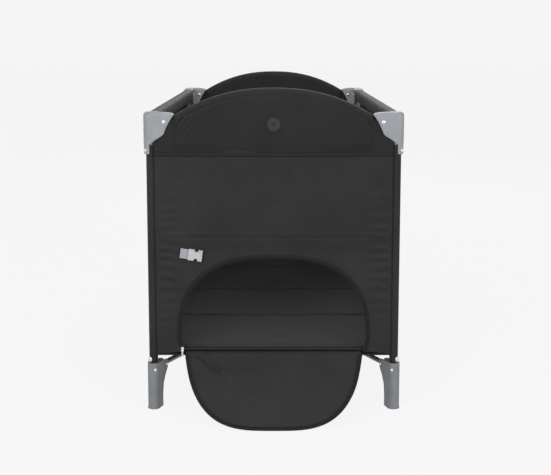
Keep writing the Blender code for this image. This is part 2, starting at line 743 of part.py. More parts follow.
def pull_mesh():
    """Zip pull hanging from the slider's pin."""
    axis_y, axis_z = pull_axis()
    half = SLIDER_WIDTH / 2 - 0.0012 - PULL_CLEARANCE
    hub = turned([(PULL_PIN + PULL_CLEARANCE, -half), (PULL_EYE - 0.0003, -half),
                  (PULL_EYE - 0.0003, half), (PULL_PIN + PULL_CLEARANCE, half)], 12)
    turn(hub, math.pi / 2, "Y")
    tongue = block((-half, -0.0006, -PULL_LENGTH), (half, 0.0006, -PULL_PIN - PULL_CLEARANCE - 0.0003))
    mesh = carve(hub, [("UNION", tongue)])
    mesh.transform(Matrix.Translation((SLIDER_X, axis_y, axis_z)))
    return mesh


def webbing_axis():
    """Middle of the sewn edge of the buckle's webbing, which it lifts about."""
    return Vector((WEBBING_X, PANEL_FACE - GAP, WEBBING_Z))


def webbing_mesh():
    """Short webbing from its sewn end to the buckle's slot, tilted down to the right."""
    start = webbing_axis()
    half = WEBBING_WIDTH / 2
    middle = -BUCKLE_DEPTH / 2
    strip = block((0, middle - WEBBING_THICKNESS / 2, -half),
                  (WEBBING_LENGTH, middle + WEBBING_THICKNESS / 2, half))
    sewn = block((0, middle - 0.0006, -half), (0.006, 0, half))
    mesh = carve(strip, [("UNION", sewn)])
    mesh.transform(Matrix.Translation(start) @ Matrix.Rotation(WEBBING_TILT, 4, "Y"))
    return mesh


def buckle_mouth():
    """Inner corners of the buckle's mouth in its own frame, before the tilt."""
    half = BUCKLE_WIDTH / 2 - BUCKLE_WALL - 0.001
    start = WEBBING_LENGTH - 0.009 + 0.012
    end = WEBBING_LENGTH - 0.009 + BUCKLE_LENGTH
    return Vector((start, -BUCKLE_DEPTH + BUCKLE_WALL, -half)), Vector((end, -BUCKLE_WALL, half))


def buckle_mesh():
    """Female half of a side-release buckle, open to the right."""
    start = webbing_axis()
    left = WEBBING_LENGTH - 0.009
    half = BUCKLE_WIDTH / 2
    low, high = buckle_mouth()
    body = block((left, -BUCKLE_DEPTH, -half), (left + BUCKLE_LENGTH, 0, half))
    play = WEBBING_THICKNESS / 2 + GAP
    slot = block((left - 0.01, -BUCKLE_DEPTH / 2 - play, -WEBBING_WIDTH / 2 - GAP),
                 (WEBBING_LENGTH + GAP, -BUCKLE_DEPTH / 2 + play, WEBBING_WIDTH / 2 + GAP))
    steps = [
        ("DIFFERENCE", slot),
        ("DIFFERENCE", block(low, (high.x + 0.01, high.y, high.z))),
    ]
    for sign in (-1, 1):
        near, far = sorted((sign * (half - 0.005), sign * (half + 0.005)))
        notch = block((low.x + 0.003, -BUCKLE_DEPTH - 0.01, near), (low.x + 0.012, 0.01, far))
        steps.append(("DIFFERENCE", notch))
    mesh = carve(body, steps)
    mesh.transform(Matrix.Translation(start) @ Matrix.Rotation(WEBBING_TILT, 4, "Y"))
    return mesh


# ---- assembly ----

def add_rail(name, finish, first, second, latch, mesh, latch_shape, button_shape, start, direction, length, pin):
    """Two tube halves, the lock between them and its button, from the start pin along direction."""
    angle = math.atan2(direction.y, direction.x)
    latch_at = start + direction * (length + pin)
    far_pin = start + direction * (length + 2 * pin)
    near_pin = start + direction * length
    near_half = name + "_rail_" + first
    far_half = name + "_rail_" + second
    press = latch + "_button"
    add(near_half, mesh, finish, pivot(near_half + "_pivot", start), start, angle)
    add(latch, latch_shape, "grey_plastic", pivot(latch + "_pivot", near_pin), latch_at, angle)
    add(press, button_shape, "black_plastic", pivot(press + "_slide", latch_at), latch_at, angle)
    add(far_half, mesh, finish, pivot(far_half + "_pivot", far_pin), far_pin, angle)


def build_frame(carriers):
    """Posts, feet, brackets, hub, base tubes and rails."""
    post_low = FOOT_SOLE + GAP
    post_high = RAIL_Z + SOCKET_TOP - GAP
    post = mesh_from(turned([(POST_RADIUS - POST_WALL, post_low), (POST_RADIUS, post_low),
                             (POST_RADIUS, post_high), (POST_RADIUS - POST_WALL, post_high)], 20))
    bracket = bracket_mesh()
    foot = foot_mesh()
    base = link_mesh(BASE_LENGTH, BASE_RADIUS, BASE_WALL, BASE_OVERHANG, 16)
    for corner in CORNERS:
        carrier = carriers[corner]
        at = post_centre(corner)
        add("post_" + corner, post, "grey_steel", carrier, at)
        add("corner_bracket_" + corner, bracket, "grey_plastic", carrier, at, corner_angle(corner))
        towards = math.atan2(inward(corner).y, inward(corner).x)
        add("foot_" + corner, foot, "grey_plastic", carrier, at, towards)
        if corner == "front_left":
            at, angle = foot_pin(corner), towards
        else:
            at, angle = hub_pin(corner), towards + math.pi
        add("base_tube_" + corner, base, "grey_steel", pivot("base_tube_" + corner + "_pivot", at), at, angle)
    add("hub", hub_mesh(), "grey_plastic", carriers["hub"])
    add("hub_strap", strap_mesh(), "black_fabric", carriers["hub"])

    short = link_mesh(SHORT_HALF, RAIL_RADIUS, RAIL_WALL, RAIL_OVERHANG, 16)
    long = link_mesh(LONG_HALF, RAIL_RADIUS, RAIL_WALL, RAIL_OVERHANG, 16)
    short_latch = latch_mesh(SHORT_LATCH_PIN)
    long_latch = latch_mesh(LONG_LATCH_PIN)
    button = button_mesh()
    right = Vector((1, 0, 0))
    back = Vector((0, 1, 0))
    for end, side in (("front", -1), ("back", 1)):
        start = Vector((-POST_X + CORNER_PIVOT, side * POST_Y, RAIL_Z))
        add_rail(end, "grey_steel", "left", "right", end + "_latch", short, short_latch, button,
                 start, right, SHORT_HALF, SHORT_LATCH_PIN)
    for name, side in (("left", -1), ("right", 1)):
        start = Vector((side * POST_X, -POST_Y + CORNER_PIVOT, RAIL_Z))
        add_rail(name, "grey_steel", "front", "back", name + "_latch", long, long_latch, button,
                 start, back, LONG_HALF, LONG_LATCH_PIN)


def build_soft_parts(carriers):
    """Walls, arches, sleeves, floor and mattress."""
    front = carriers["front_left"]
    rear = carriers["back_left"]
    add("front_panel", end_panel_mesh(-1, True), "black_fabric", front)
    add("back_panel", end_panel_mesh(1, False), "black_fabric", rear)
    add("front_arch_pad", arch_pad_mesh(-1), "black_foam", front)
    add("back_arch_pad", arch_pad_mesh(1), "black_foam", rear)
    for name, side, carrier in (("left", -1, front), ("right", 1, carriers["front_right"])):
        add(name + "_wall", side_wall_mesh(side), "black_fabric", carrier)
        add(name + "_window_net", net_mesh(side), "black_net", carrier)
        add(name + "_rail_sleeve", rail_sleeve_mesh(side), "black_foam", carrier)
    add("floor_panel", floor_mesh(), "black_fabric", carriers["hub"])
    edges = section_edges()
    hinge_y = {1: edges[1], 2: edges[2], 3: edges[2], 4: edges[3]}
    for number in range(1, SECTION_COUNT + 1):
        name = "mattress_section_" + str(number)
        carrier = pivot(name + "_pivot", (0, hinge_y[number], MATTRESS_TOP))
        add(name, mattress_section_mesh(number - 1), "black_foam", carrier)


def build_door(carriers):
    """Flap, zip slider and pull, buckle and badge."""
    front = carriers["front_left"]
    hinge_y, hinge_z = flap_axis()
    add("door_flap", flap_mesh(), "black_fabric", pivot("door_flap_hinge", (0, hinge_y, hinge_z)))
    add("badge", badge_mesh(), "black_plastic", front)
    axis_y, axis_z = pull_axis()
    add("zip_slider", slider_mesh(), "bright_metal", pivot("zip_slider_track", (SLIDER_X, axis_y, SLIDER_Z)))
    add("zip_pull", pull_mesh(), "bright_metal", pivot("zip_pull_pin", (SLIDER_X, axis_y, axis_z)))
    swing = pivot("buckle_swing", webbing_axis())
    add("buckle_webbing", webbing_mesh(), "grey_webbing", swing)
    add("buckle", buckle_mesh(), "light_plastic", swing)


def main():
    clear_scene()
    carriers = {"front_left": pivot("frame_origin", (0, 0, 0))}
    carriers["hub"] = pivot("hub_pivot", hub_pin("front_left"))
    for corner in ("front_right", "back_left", "back_right"):
        carriers[corner] = pivot("post_" + corner + "_pivot", foot_pin(corner))
    build_frame(carriers)
    build_soft_parts(carriers)
    build_door(carriers)


main()
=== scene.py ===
"""Folding travel playpen with fabric walls, padded arches and a crawl-through door.

Laid out as an add-on: sizes and colours are properties, and each operator makes one group of pieces.
Metres, +Z up, the origin on the ground under the centre hub. The end with the door faces -Y.
"""

import math

import bmesh
import bpy
from bpy.props import FloatProperty, FloatVectorProperty, PointerProperty
from mathutils import Matrix, Vector, noise


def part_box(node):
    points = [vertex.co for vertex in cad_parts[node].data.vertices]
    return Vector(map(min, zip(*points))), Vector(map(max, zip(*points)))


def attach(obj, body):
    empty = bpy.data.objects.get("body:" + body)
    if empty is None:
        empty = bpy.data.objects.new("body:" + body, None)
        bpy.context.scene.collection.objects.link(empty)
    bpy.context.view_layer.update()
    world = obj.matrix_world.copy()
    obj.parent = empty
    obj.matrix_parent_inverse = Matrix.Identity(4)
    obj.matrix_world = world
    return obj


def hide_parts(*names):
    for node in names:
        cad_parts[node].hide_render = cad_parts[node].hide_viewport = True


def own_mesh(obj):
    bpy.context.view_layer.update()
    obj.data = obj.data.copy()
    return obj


bl_info = {
    "name": "Travel playpen",
    "version": (1, 0, 0),
    "blender": (4, 5, 0),
    "location": "3D View > Sidebar > Playpen",
    "description": "Makes the fabric, the fittings and the finishes of a folding travel playpen",
    "category": "Object",
}

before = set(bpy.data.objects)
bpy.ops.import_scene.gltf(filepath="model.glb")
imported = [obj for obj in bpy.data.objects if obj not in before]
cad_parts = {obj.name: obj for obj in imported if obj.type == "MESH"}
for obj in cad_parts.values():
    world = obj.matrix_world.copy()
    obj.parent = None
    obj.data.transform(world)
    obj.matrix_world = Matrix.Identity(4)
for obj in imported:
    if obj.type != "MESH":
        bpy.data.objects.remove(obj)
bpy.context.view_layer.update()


# ---- places taken from the frame ----

def middle(node):
    """Centre of a frame node's box."""
    low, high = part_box(node)
    return (Vector(low) + Vector(high)) / 2


POST_X = middle("post_front_right").x
POST_Y = middle("post_back_left").y
RAIL_Z = middle("front_rail_left").z
WALL_OUT = -POST_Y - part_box("front_panel")[0][1]
WALL_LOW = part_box("left_wall")[0][2]
SLEEVE_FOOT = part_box("front_panel")[0][2]
BASE_Z = middle("base_tube_front_left").z
SEAM_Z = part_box("front_arch_pad")[0][2]
ARCH_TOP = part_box("front_arch_pad")[1][2]
SLEEVE_LOW, SLEEVE_HIGH = (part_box("left_rail_sleeve")[i][2] for i in (0, 1))
SLEEVE_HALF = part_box("left_rail_sleeve")[1][1]

FLOOR_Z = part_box("floor_panel")[1][2]
FLAP_LOW = Vector(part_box("door_flap")[0])
FLAP_HIGH = Vector(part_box("door_flap")[1])

# Fold: turn of the base tubes, distance of their pins from the posts, and the share of its width an end keeps.
FOLD_TURN = math.radians(82)
BASE_PIN = 0.045
FOLD_KEEP = (BASE_PIN + (POST_X - BASE_PIN) * math.cos(FOLD_TURN)) / POST_X

# Corner brackets.
WING_HALF = POST_X - 0.060  # half the free span between the wings of one end
BRACKET_COVER = 0.0085  # how far the moulding stands out past the post
BRACKET_DROP = 0.054  # depth of its lower edge below the rail
CROWN = 0.0075  # rounding of its top
BRACKET_FACE = 0.0165  # its outer face, from the post's middle
RAIL_RIVET = 0.0360  # its rail rivets, from the post's middle

# Cloth.
WALL_TOP = RAIL_Z - 0.057  # top edge of the end walls, inside the arches
GROOVE_INSET = 0.0090  # groove between an end wall and its post sleeve, from the post's middle
SIDE_INSET = 0.0085  # ends of the side walls, from the posts' middle
SLEEVE_START = POST_X - 0.0105  # where the post sleeves begin and reach lower than the wall
MIDDLE_SEAM = 0.4485  # height of the seam across the end walls
HEM_STITCH = 0.014  # stitch line, above the hem
LOCK_ROOM = 0.0034  # swell of the walls, which clears the rail locks

# Arches: shares of the way round the section where the outer skin and the rim end, and their swell.
OUTER_SHARE = 0.46
RIM_SHARE = 0.54
ARCH_SWELL = 0.0165

# Thread directions of cloth on an end wall, a side wall and a level piece.
THREADS = {"end": ((1, 0, 0), (0, 0, 1)), "side": ((0, 1, 0), (0, 0, 1)), "level": ((1, 0, 0), (0, 1, 0))}

CORNERS = {
    "front_left": (-1, -1),
    "front_right": (1, -1),
    "back_left": (-1, 1),
    "back_right": (1, 1),
}

# Door: half width, half sill, heights of the sill, the waist and the top, and the squareness of its arch.
DOOR_HALF = 0.237
DOOR_SILL_HALF = 0.2285
DOOR_SILL = 0.155
DOOR_WAIST = 0.185
DOOR_TOP = 0.396
DOOR_POWER = 2.6

# Side windows: half length, lower and upper edge, corner radius.
WINDOW_HALF = 0.500
WINDOW_LOW = 0.300
WINDOW_HIGH = 0.640
WINDOW_CORNER = 0.060


def linear(code):
    """An sRGB hex colour as linear red, green and blue."""
    values = []
    for i in (1, 3, 5):
        share = int(code[i:i + 2], 16) / 255
        values.append(share / 12.92 if share <= 0.04045 else ((share + 0.055) / 1.055) ** 2.4)
    return tuple(values)


# ---- sizes and colours ----

def length(label, about, value):
    """A length property in metres."""
    return FloatProperty(name=label, description=about, default=value, min=0.0, subtype="DISTANCE", unit="LENGTH",
                         precision=4)


def colour(label, about, code):
    """A colour property from its sRGB hex value."""
    return FloatVectorProperty(name=label, description=about, default=linear(code), size=3, min=0.0, max=1.0,
                               subtype="COLOR")


class PlaypenSizes(bpy.types.PropertyGroup):
    """Sizes of the sewn and moulded details."""

    cloth: length("Cloth", "Thickness of the wall cloth with its backing", 0.0014)
    slack: length("Slack", "How far the wall cloth swells between its seams", 0.0016)
    crease: length("Crease", "Depth of the creases beside the post sleeves", 0.0028)
    seam: length("Seam", "Depth of the groove along a sewn seam", 0.0017)
    piping: length("Piping", "Radius of the piping in the shoulder seam", 0.0021)
    binding: length("Binding", "Width of the tape round the door, the flap and the windows", 0.0110)
    tape: length("Tape thickness", "How far a binding tape stands off the cloth", 0.0009)
    tooth: length("Zip tooth", "Pitch of the coil of the zip", 0.0026)
    rivet: length("Rivet", "Radius of the rivet heads", 0.0048)
    snap: length("Snap", "Radius of the press studs on the post sleeves", 0.0060)
    edge: length("Moulded edge", "Radius along the edges of the moulded parts", 0.0018)
    swell: length("Mattress swell", "How far the filling pushes the mattress cover out", 0.0026)


class PlaypenColours(bpy.types.PropertyGroup):
    """Colours of the finishes."""

    fabric: colour("Fabric", "Woven polyester of the walls", "#1d1d1e")
    fabric_light: colour("Fabric sheen", "Woven polyester where the threads lie flat", "#262627")
    padding: colour("Padding", "Fabric of the arches and the rail sleeves", "#151516")
    net: colour("Net", "Knitted window net", "#161616")
    # Also the colour of the strip under the shoulder piping, painted shade in the grooves beside the cord
    tape: colour("Tape", "Binding tape", "#080809")
    moulding: colour("Mouldings", "Corner brackets, hub and rail locks", "#8b8f93")
    foot: colour("Feet", "Feet of the posts", "#767a7e")
    cover: colour("Mattress cover", "Woven cover of the mattress", "#141415")
    steel: colour("Frame steel", "Powder coat of the tubes", "#8b8f93")
    webbing: colour("Webbing", "Strap of the buckle", "#8c8b93")
    buckle: colour("Buckle", "Side-release buckle", "#b3b3b6")
    floor: colour("Studio floor", "Plain pale floor and backdrop", "#f5f5f5")


def sizes():
    """The current sizes."""
    return bpy.context.scene.playpen_sizes


def colours():
    """The current colours."""
    return bpy.context.scene.playpen_colours


# ---- materials ----

def put(tree, kind, settings=(), links=()):
    """Add a node; settings are (socket or attribute, value), links are (socket, node, output)."""
    item = tree.nodes.new(kind)
    for key, value in settings:
        if isinstance(key, str) and hasattr(item, key):
            setattr(item, key, value)
        else:
            item.inputs[key].default_value = value
    for key, source, output in links:
        tree.links.new(source.outputs[output], item.inputs[key])
    return item


def begin(name, base, settings):
    """A material with a Principled shader; returns it, its tree and its shader, or None in their place if made."""
    known = bpy.data.materials.get(name)
    if known:
        return known, None, None
    made = bpy.data.materials.new(name)
    made.use_nodes = True
    tree = made.node_tree
    shader = tree.nodes["Principled BSDF"]
    shader.inputs["Base Color"].default_value = (*base, 1.0)
    for key, value in settings:
        shader.inputs[key].default_value = value
    made.diffuse_color = (*base, 1.0)
    return made, tree, shader


def mixed(tree, shader, first, second, source, output, low, high):
    """Colour the shader between two colours by a value that runs from low to high."""
    share = put(tree, "ShaderNodeMapRange", [("From Min", low), ("From Max", high)], [("Value", source, output)])
    blend = put(tree, "ShaderNodeMix", [("data_type", "RGBA"), (6, (*first, 1)), (7, (*second, 1))],
                [(0, share, "Result")])
    tree.links.new(blend.outputs[2], shader.inputs["Base Color"])
    return share


def wave_along(tree, place, direction, pitch):
    """Waves that follow each other along an object direction, pitch metres apart."""
    scaled = tuple(value * math.tau / pitch for value in direction)
    run = put(tree, "ShaderNodeVectorMath", [("operation", "DOT_PRODUCT"), (1, scaled)], [(0, place, "Object")])
    return put(tree, "ShaderNodeMath", [("operation", "SINE")], [(0, run, "Value")])


def woven(name, base, light, across, along, pitch=0.0030):
    """Plain-woven polyester, calendered smooth: dark, soft highlights, a faint weave and slow shade changes.

    across and along are the object directions of the two threads. Real threads lie 0.4 mm apart;
    the weave is drawn at 3 mm so that it shows.
    """
    made, tree, shader = begin(name, base, [("Roughness", 0.62), ("Specular IOR Level", 0.22),
                                            ("Sheen Weight", 0.04), ("Sheen Roughness", 0.45)])
    if tree is None:
        return made
    place = put(tree, "ShaderNodeTexCoord")
    waves = [wave_along(tree, place, direction, 2 * pitch) for direction in (across, along)]
    weave = put(tree, "ShaderNodeMath", [("operation", "MULTIPLY")], [(0, waves[0], 0), (1, waves[1], 0)])
    slow = put(tree, "ShaderNodeTexNoise", [("Scale", 9.0), ("Detail", 3.0), ("Roughness", 0.55)],
               [("Vector", place, "Object")])
    mixed(tree, shader, base, light, slow, "Fac", 0.35, 0.70)
    fuzz = put(tree, "ShaderNodeTexNoise", [("Scale", 900.0), ("Detail", 2.0)], [("Vector", place, "Object")])
    threads = put(tree, "ShaderNodeBump", [("Strength", 0.22), ("Distance", 0.0004)], [("Height", weave, 0)])
    fibres = put(tree, "ShaderNodeBump", [("Strength", 0.25), ("Distance", 0.0003)],
                 [("Height", fuzz, "Fac"), ("Normal", threads, "Normal")])
    tree.links.new(fibres.outputs["Normal"], shader.inputs["Normal"])
    sheen = put(tree, "ShaderNodeMapRange", [("To Min", 0.56), ("To Max", 0.72)], [("Value", slow, "Fac")])
    tree.links.new(sheen.outputs["Result"], shader.inputs["Roughness"])
    return made


def knitted(name, base):
    """Knitted polyester net: black threads round open holes, drawn 5 mm apart; real ones are about 2 mm."""
    made, tree, shader = begin(name, base, [("Roughness", 0.75), ("IOR", 1.46)])
    if tree is None:
        return made
    place = put(tree, "ShaderNodeTexCoord")
    rows = []
    for slope in (1.0, -1.0):
        wave = wave_along(tree, place, (0, 1, slope), 2 * 0.0050)
        rows.append(put(tree, "ShaderNodeMath", [("operation", "ABSOLUTE")], [(0, wave, 0)]))
    hole = put(tree, "ShaderNodeMath", [("operation", "MINIMUM")], [(0, rows[0], 0), (1, rows[1], 0)])
    thread = put(tree, "ShaderNodeMapRange", [("From Min", 0.42), ("From Max", 0.50), ("To Min", 1.0),
                                              ("To Max", 0.0)], [("Value", hole, 0)])
    tree.links.new(thread.outputs["Result"], shader.inputs["Alpha"])
    knots = put(tree, "ShaderNodeBump", [("Strength", 0.5), ("Distance", 0.0005)], [("Height", thread, "Result")])
    tree.links.new(knots.outputs["Normal"], shader.inputs["Normal"])
    return made


def ribbed(name, base, light, direction, pitch):
    """Woven narrow tape or webbing: ribs square to direction, drawn at pitch metres. Its colour follows the rib
    relief, lighter on the crests and darker in the troughs, which is painted highlight and painted shade, with random
    fibre specks on top.
    """
    made, tree, shader = begin(name, base, [("Roughness", 0.70), ("Specular IOR Level", 0.25),
                                            ("Sheen Weight", 0.03), ("Sheen Roughness", 0.5)])
    if tree is None:
        return made
    place = put(tree, "ShaderNodeTexCoord")
    rib = wave_along(tree, place, direction, pitch)
    speck = put(tree, "ShaderNodeTexNoise", [("Scale", 500.0), ("Detail", 2.0)], [("Vector", place, "Object")])
    total = put(tree, "ShaderNodeMath", [("operation", "ADD")], [(0, rib, 0), (1, speck, "Fac")])
    # Painted highlight on the rib crests and painted shade in the troughs, taken from the relief height, plus random
    # fibre specks
    mixed(tree, shader, base, light, total, 0, -0.6, 1.6)
    relief = put(tree, "ShaderNodeBump", [("Strength", 0.4), ("Distance", 0.0004)], [("Height", total, 0)])
    tree.links.new(relief.outputs["Normal"], shader.inputs["Normal"])
    return made


def moulded(name, base, rough, grit, depth):
    """Injection-moulded plastic with a spark-eroded grain: even colour, broad soft highlights."""
    made, tree, shader = begin(name, base, [("Roughness", rough), ("IOR", 1.50)])
    if tree is None:
        return made
    place = put(tree, "ShaderNodeTexCoord")
    grain = put(tree, "ShaderNodeTexNoise", [("Scale", 1.0 / grit), ("Detail", 2.0)], [("Vector", place, "Object")])
    cloud = put(tree, "ShaderNodeTexNoise", [("Scale", 25.0), ("Detail", 2.0)], [("Vector", place, "Object")])
    darker = tuple(value * 0.90 for value in base)
    lighter = tuple(min(value * 1.06, 1.0) for value in base)
    mixed(tree, shader, darker, lighter, cloud, "Fac", 0.3, 0.7)
    texture = put(tree, "ShaderNodeBump", [("Strength", 0.35), ("Distance", depth)], [("Height", grain, "Fac")])
    tree.links.new(texture.outputs["Normal"], shader.inputs["Normal"])
    gloss = put(tree, "ShaderNodeMapRange", [("To Min", rough - 0.06), ("To Max", rough + 0.08)],
                [("Value", grain, "Fac")])
    tree.links.new(gloss.outputs["Result"], shader.inputs["Roughness"])
    return made


def metal(name, base, rough, streak):
    """Bare or plated metal; streak is the spacing of its fine turning marks."""
    made, tree, shader = begin(name, base, [("Metallic", 1.0), ("Roughness", rough)])
    if tree is None:
        return made
    place = put(tree, "ShaderNodeTexCoord")
    marks = put(tree, "ShaderNodeTexNoise", [("Scale", 1.0 / streak), ("Detail", 3.0)],
                [("Vector", place, "Object")])
    spread = put(tree, "ShaderNodeMapRange", [("To Min", rough * 0.7), ("To Max", rough * 1.4)],
                 [("Value", marks, "Fac")])
    tree.links.new(spread.outputs["Result"], shader.inputs["Roughness"])
    return made


def wall_fabric(side):
    """Wall fabric for an end wall (side "end"), a side wall ("side") or a level piece ("level")."""
    return woven("woven_polyester_" + side, colours().fabric, colours().fabric_light, *THREADS[side])


def cover_fabric():
    """Woven cover of the mattress."""
    return woven("woven_mattress_cover", colours().cover, colours().fabric, *THREADS["level"])


def pad_fabric(side):
    """Padding cover for an end, a side or a level piece."""
    return woven("padded_polyester_" + side, colours().padding, colours().fabric, *THREADS[side])


def tape_and_groove_shade_finish():
    """Binding tape, and the dark strip under the shoulder piping that is painted shade in the grooves beside the cord.
    """
    # Lighter colour of the rib crests: painted highlight
    light = tuple(value * 1.8 for value in colours().tape)
    return ribbed("grosgrain_tape_and_groove_shade", colours().tape, light, (0.7, 0.4, 0.6), 0.0026)


def plated():
    """Nickel-plated rivets, press studs and zip parts."""
    return metal("nickel_plate", linear("#d6d6d8"), 0.18, 0.0015)


def grey_moulding():
    """Glass-filled nylon of the brackets, hub and locks."""
    return moulded("grey_nylon_moulding", colours().moulding, 0.46, 0.0012, 0.0002)


def foot_moulding():
    """Darker glass-filled nylon of the feet."""
    return moulded("dark_grey_nylon_moulding", colours().foot, 0.50, 0.0012, 0.0002)


# ---- shapes ----

def finished(name, shape, finish, sharp=40):
    """A bmesh as a named object at the origin, with its material."""
    mesh = bpy.data.meshes.new(name)
    shape.to_mesh(mesh)
    shape.free()
    item = bpy.data.objects.new(name, mesh)
    bpy.context.scene.collection.objects.link(item)
    mesh.materials.append(finish)
    mesh.shade_smooth()
    mesh.set_sharp_from_angle(angle=math.radians(sharp))
    return item


def sheet_grid(columns, rows, place):
    """A grid whose point at shares (u, v) is moved to place(u, v)."""
    shape = bmesh.new()
    bmesh.ops.create_grid(shape, x_segments=columns, y_segments=rows, size=0.5)
    for vert in shape.verts:
        vert.co = place(vert.co.x + 0.5, vert.co.y + 0.5)
    return shape


def seal(shape, dist):
    """Merge the places that meet, close the open ends and turn the faces outwards."""
    bmesh.ops.remove_doubles(shape, verts=shape.verts, dist=dist)
    bmesh.ops.holes_fill(shape, edges=[edge for edge in shape.edges if edge.is_boundary], sides=0)
    bmesh.ops.recalc_face_normals(shape, faces=shape.faces)


def cut_away(shape, gone):
    """Delete the faces whose centre meets the test."""
    faces = [face for face in shape.faces if gone(face.calc_center_median())]
    bmesh.ops.delete(shape, geom=faces, context="FACES")


def turn_out(shape, axis, sign):
    """Turn a wall's faces the same way, with its top edge looking along an axis."""
    bmesh.ops.recalc_face_normals(shape, faces=shape.faces)
    probe = max(shape.faces, key=lambda face: face.calc_center_median().z)
    if probe.normal[axis] * sign < 0:
        bmesh.ops.reverse_faces(shape, faces=shape.faces)


def face_area(shape):
    """Area of all faces."""
    return sum(face.calc_area() for face in shape.faces)


def sweep(points, profile, facing, closed=False):
    """Carry a closed profile of (side, out) offsets along a path; facing points out at every place."""
    count = len(points)
    facing = Vector(facing)
    spans = count if closed else count - 1

    def place(u, v):
        i = min(int(round(u * spans)), spans)
        here = Vector(points[i % count])
        ahead = Vector(points[(i + 1) % count]) if closed or i < count - 1 else here
        behind = Vector(points[i - 1]) if closed or i > 0 else here
        along = (ahead - behind).normalized()
        side = along.cross(facing).normalized()
        a, b = profile[int(round(v * len(profile))) % len(profile)]
        return here + side * a + facing * b

    shape = sheet_grid(spans, len(profile), place)
    seal(shape, 0.00001)
    return shape


def ring(radius, sides, flat=1.0):
    """A round or flattened closed profile."""
    return [(radius * math.cos(math.tau * i / sides), radius * flat * math.sin(math.tau * i / sides))
            for i in range(sides)]


def tape_profile(width, thickness):
    """Cross-section of a tape lying on cloth: flat below, softly crowned."""
    half = width / 2
    return [(-half, -0.0004), (half, -0.0004), (half, thickness * 0.5), (half * 0.86, thickness),
            (0, thickness * 0.86), (-half * 0.86, thickness), (-half, thickness * 0.5)]


def even_path(points, step):
    """Points along a polyline, step apart or a little less."""
    total = sum((Vector(b) - Vector(a)).length for a, b in zip(points, points[1:]))
    count = max(int(math.ceil(total / step)), 2)
    spaced = []
    target = 0.0
    walked = 0.0
    i = 0
    while len(spaced) < count:
        start = Vector(points[i])
        run = Vector(points[i + 1]) - start
        if walked + run.length >= target - 1e-9:
            spaced.append(start + run * ((target - walked) / max(run.length, 1e-9)))
            target += total / count
        else:
            walked += run.length
            i += 1
    spaced.append(Vector(points[-1]))
    return spaced


def turned(points, centre, facing, steps):
    """A shape turned from (radius, height) points, standing at centre and looking along facing."""
    shape = bmesh.new()
    verts = [shape.verts.new((a, 0, b)) for a, b in points]
    edges = [shape.edges.new(pair) for pair in zip(verts, verts[1:])]
    bmesh.ops.spin(shape, geom=verts + edges, cent=(0, 0, 0), axis=(0, 0, 1), angle=math.tau, steps=steps,
                   use_merge=True)
    seal(shape, 0.00001)
    turn = Vector(facing).to_track_quat("Z", "Y").to_matrix().to_4x4()
    bmesh.ops.transform(shape, matrix=Matrix.Translation(centre) @ turn, verts=shape.verts)
    return shape


def dome(centre, facing, radius, height, rim=0.0):
    """A rivet or press-stud head: a low dome with a flat rim, facing outwards."""
    steps = 6
    points = [(radius + rim, 0.0)]
    if rim:
        points.append((radius + rim, height * 0.22))
    for i in range(steps + 1):
        angle = math.pi / 2 * i / steps
        points.append((radius * math.cos(angle), height * (0.22 + 0.78 * math.sin(angle))))
    return turned(points, centre, facing, 20)


def join(shapes):
    """Several shapes as one."""
    whole = bmesh.new()
    for shape in shapes:
        mesh = bpy.data.meshes.new("part")
        shape.to_mesh(mesh)
        shape.free()
        whole.from_mesh(mesh)
        bpy.data.meshes.remove(mesh)
    return whole


def evaluated_mesh(item):
    """A new mesh of an object as its modifiers leave it."""
    return bpy.data.meshes.new_from_object(item.evaluated_get(bpy.context.evaluated_depsgraph_get()))


def add_remesh(item, size):
    """Give an object even voxel faces."""
    remesh = item.modifiers.new("even_mesh", "REMESH")
    remesh.mode = "VOXEL"
    remesh.voxel_size = size


def smooth(shape):
    """Move each vertex half way to the middle of its neighbours."""
    bmesh.ops.smooth_vert(shape, verts=shape.verts, factor=0.5, use_axis_x=True, use_axis_y=True, use_axis_z=True)


def bracket_shell(corner):
    """Corner bracket as moulded: edges rounded all round, a well rounded top and a sloping lower edge."""
    sx, sy = CORNERS[corner]
    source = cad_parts["corner_bracket_" + corner]
    item = bpy.data.objects.new("bracket_shell_" + corner, source.data.copy())
    bpy.context.scene.collection.objects.link(item)
    add_remesh(item, 0.0013)
    mesh = evaluated_mesh(item)
    bpy.data.objects.remove(item, do_unlink=True)
    shape = bmesh.new()
    shape.from_mesh(mesh)
    bpy.data.meshes.remove(mesh)
    for turn in range(3):
        smooth(shape)
    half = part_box("post_front_right")[1][0] - POST_X + BRACKET_COVER
    top = max(vert.co.z for vert in shape.verts)
    low = RAIL_Z - BRACKET_DROP
    for vert in shape.verts:
        along = [(sx * POST_X - vert.co.x) * sx, (sy * POST_Y - vert.co.y) * sy]
        out = half - CROWN + math.sqrt(max(CROWN ** 2 - max(vert.co.z - top + CROWN, 0) ** 2, 0))
        for a, b in ((0, 1), (1, 0)):
            if along[a] >= -0.002 and along[a] > along[b] and abs(along[b]) > out:
                along[b] = math.copysign(out, along[b])
        if max(along) < 0.001 or (along[0] < 0 and along[1] < 0):
            reach = math.hypot(*along)
            if reach > out:
                along = [value * out / reach for value in along]
        edge = max(along)
        if 0.002 < edge < half + 0.004:
            vert.co.z = max(vert.co.z, low + (edge - 0.002) * 0.72)
        vert.co.x = sx * POST_X - sx * along[0]
        vert.co.y = sy * POST_Y - sy * along[1]
    smooth(shape)
    return shape


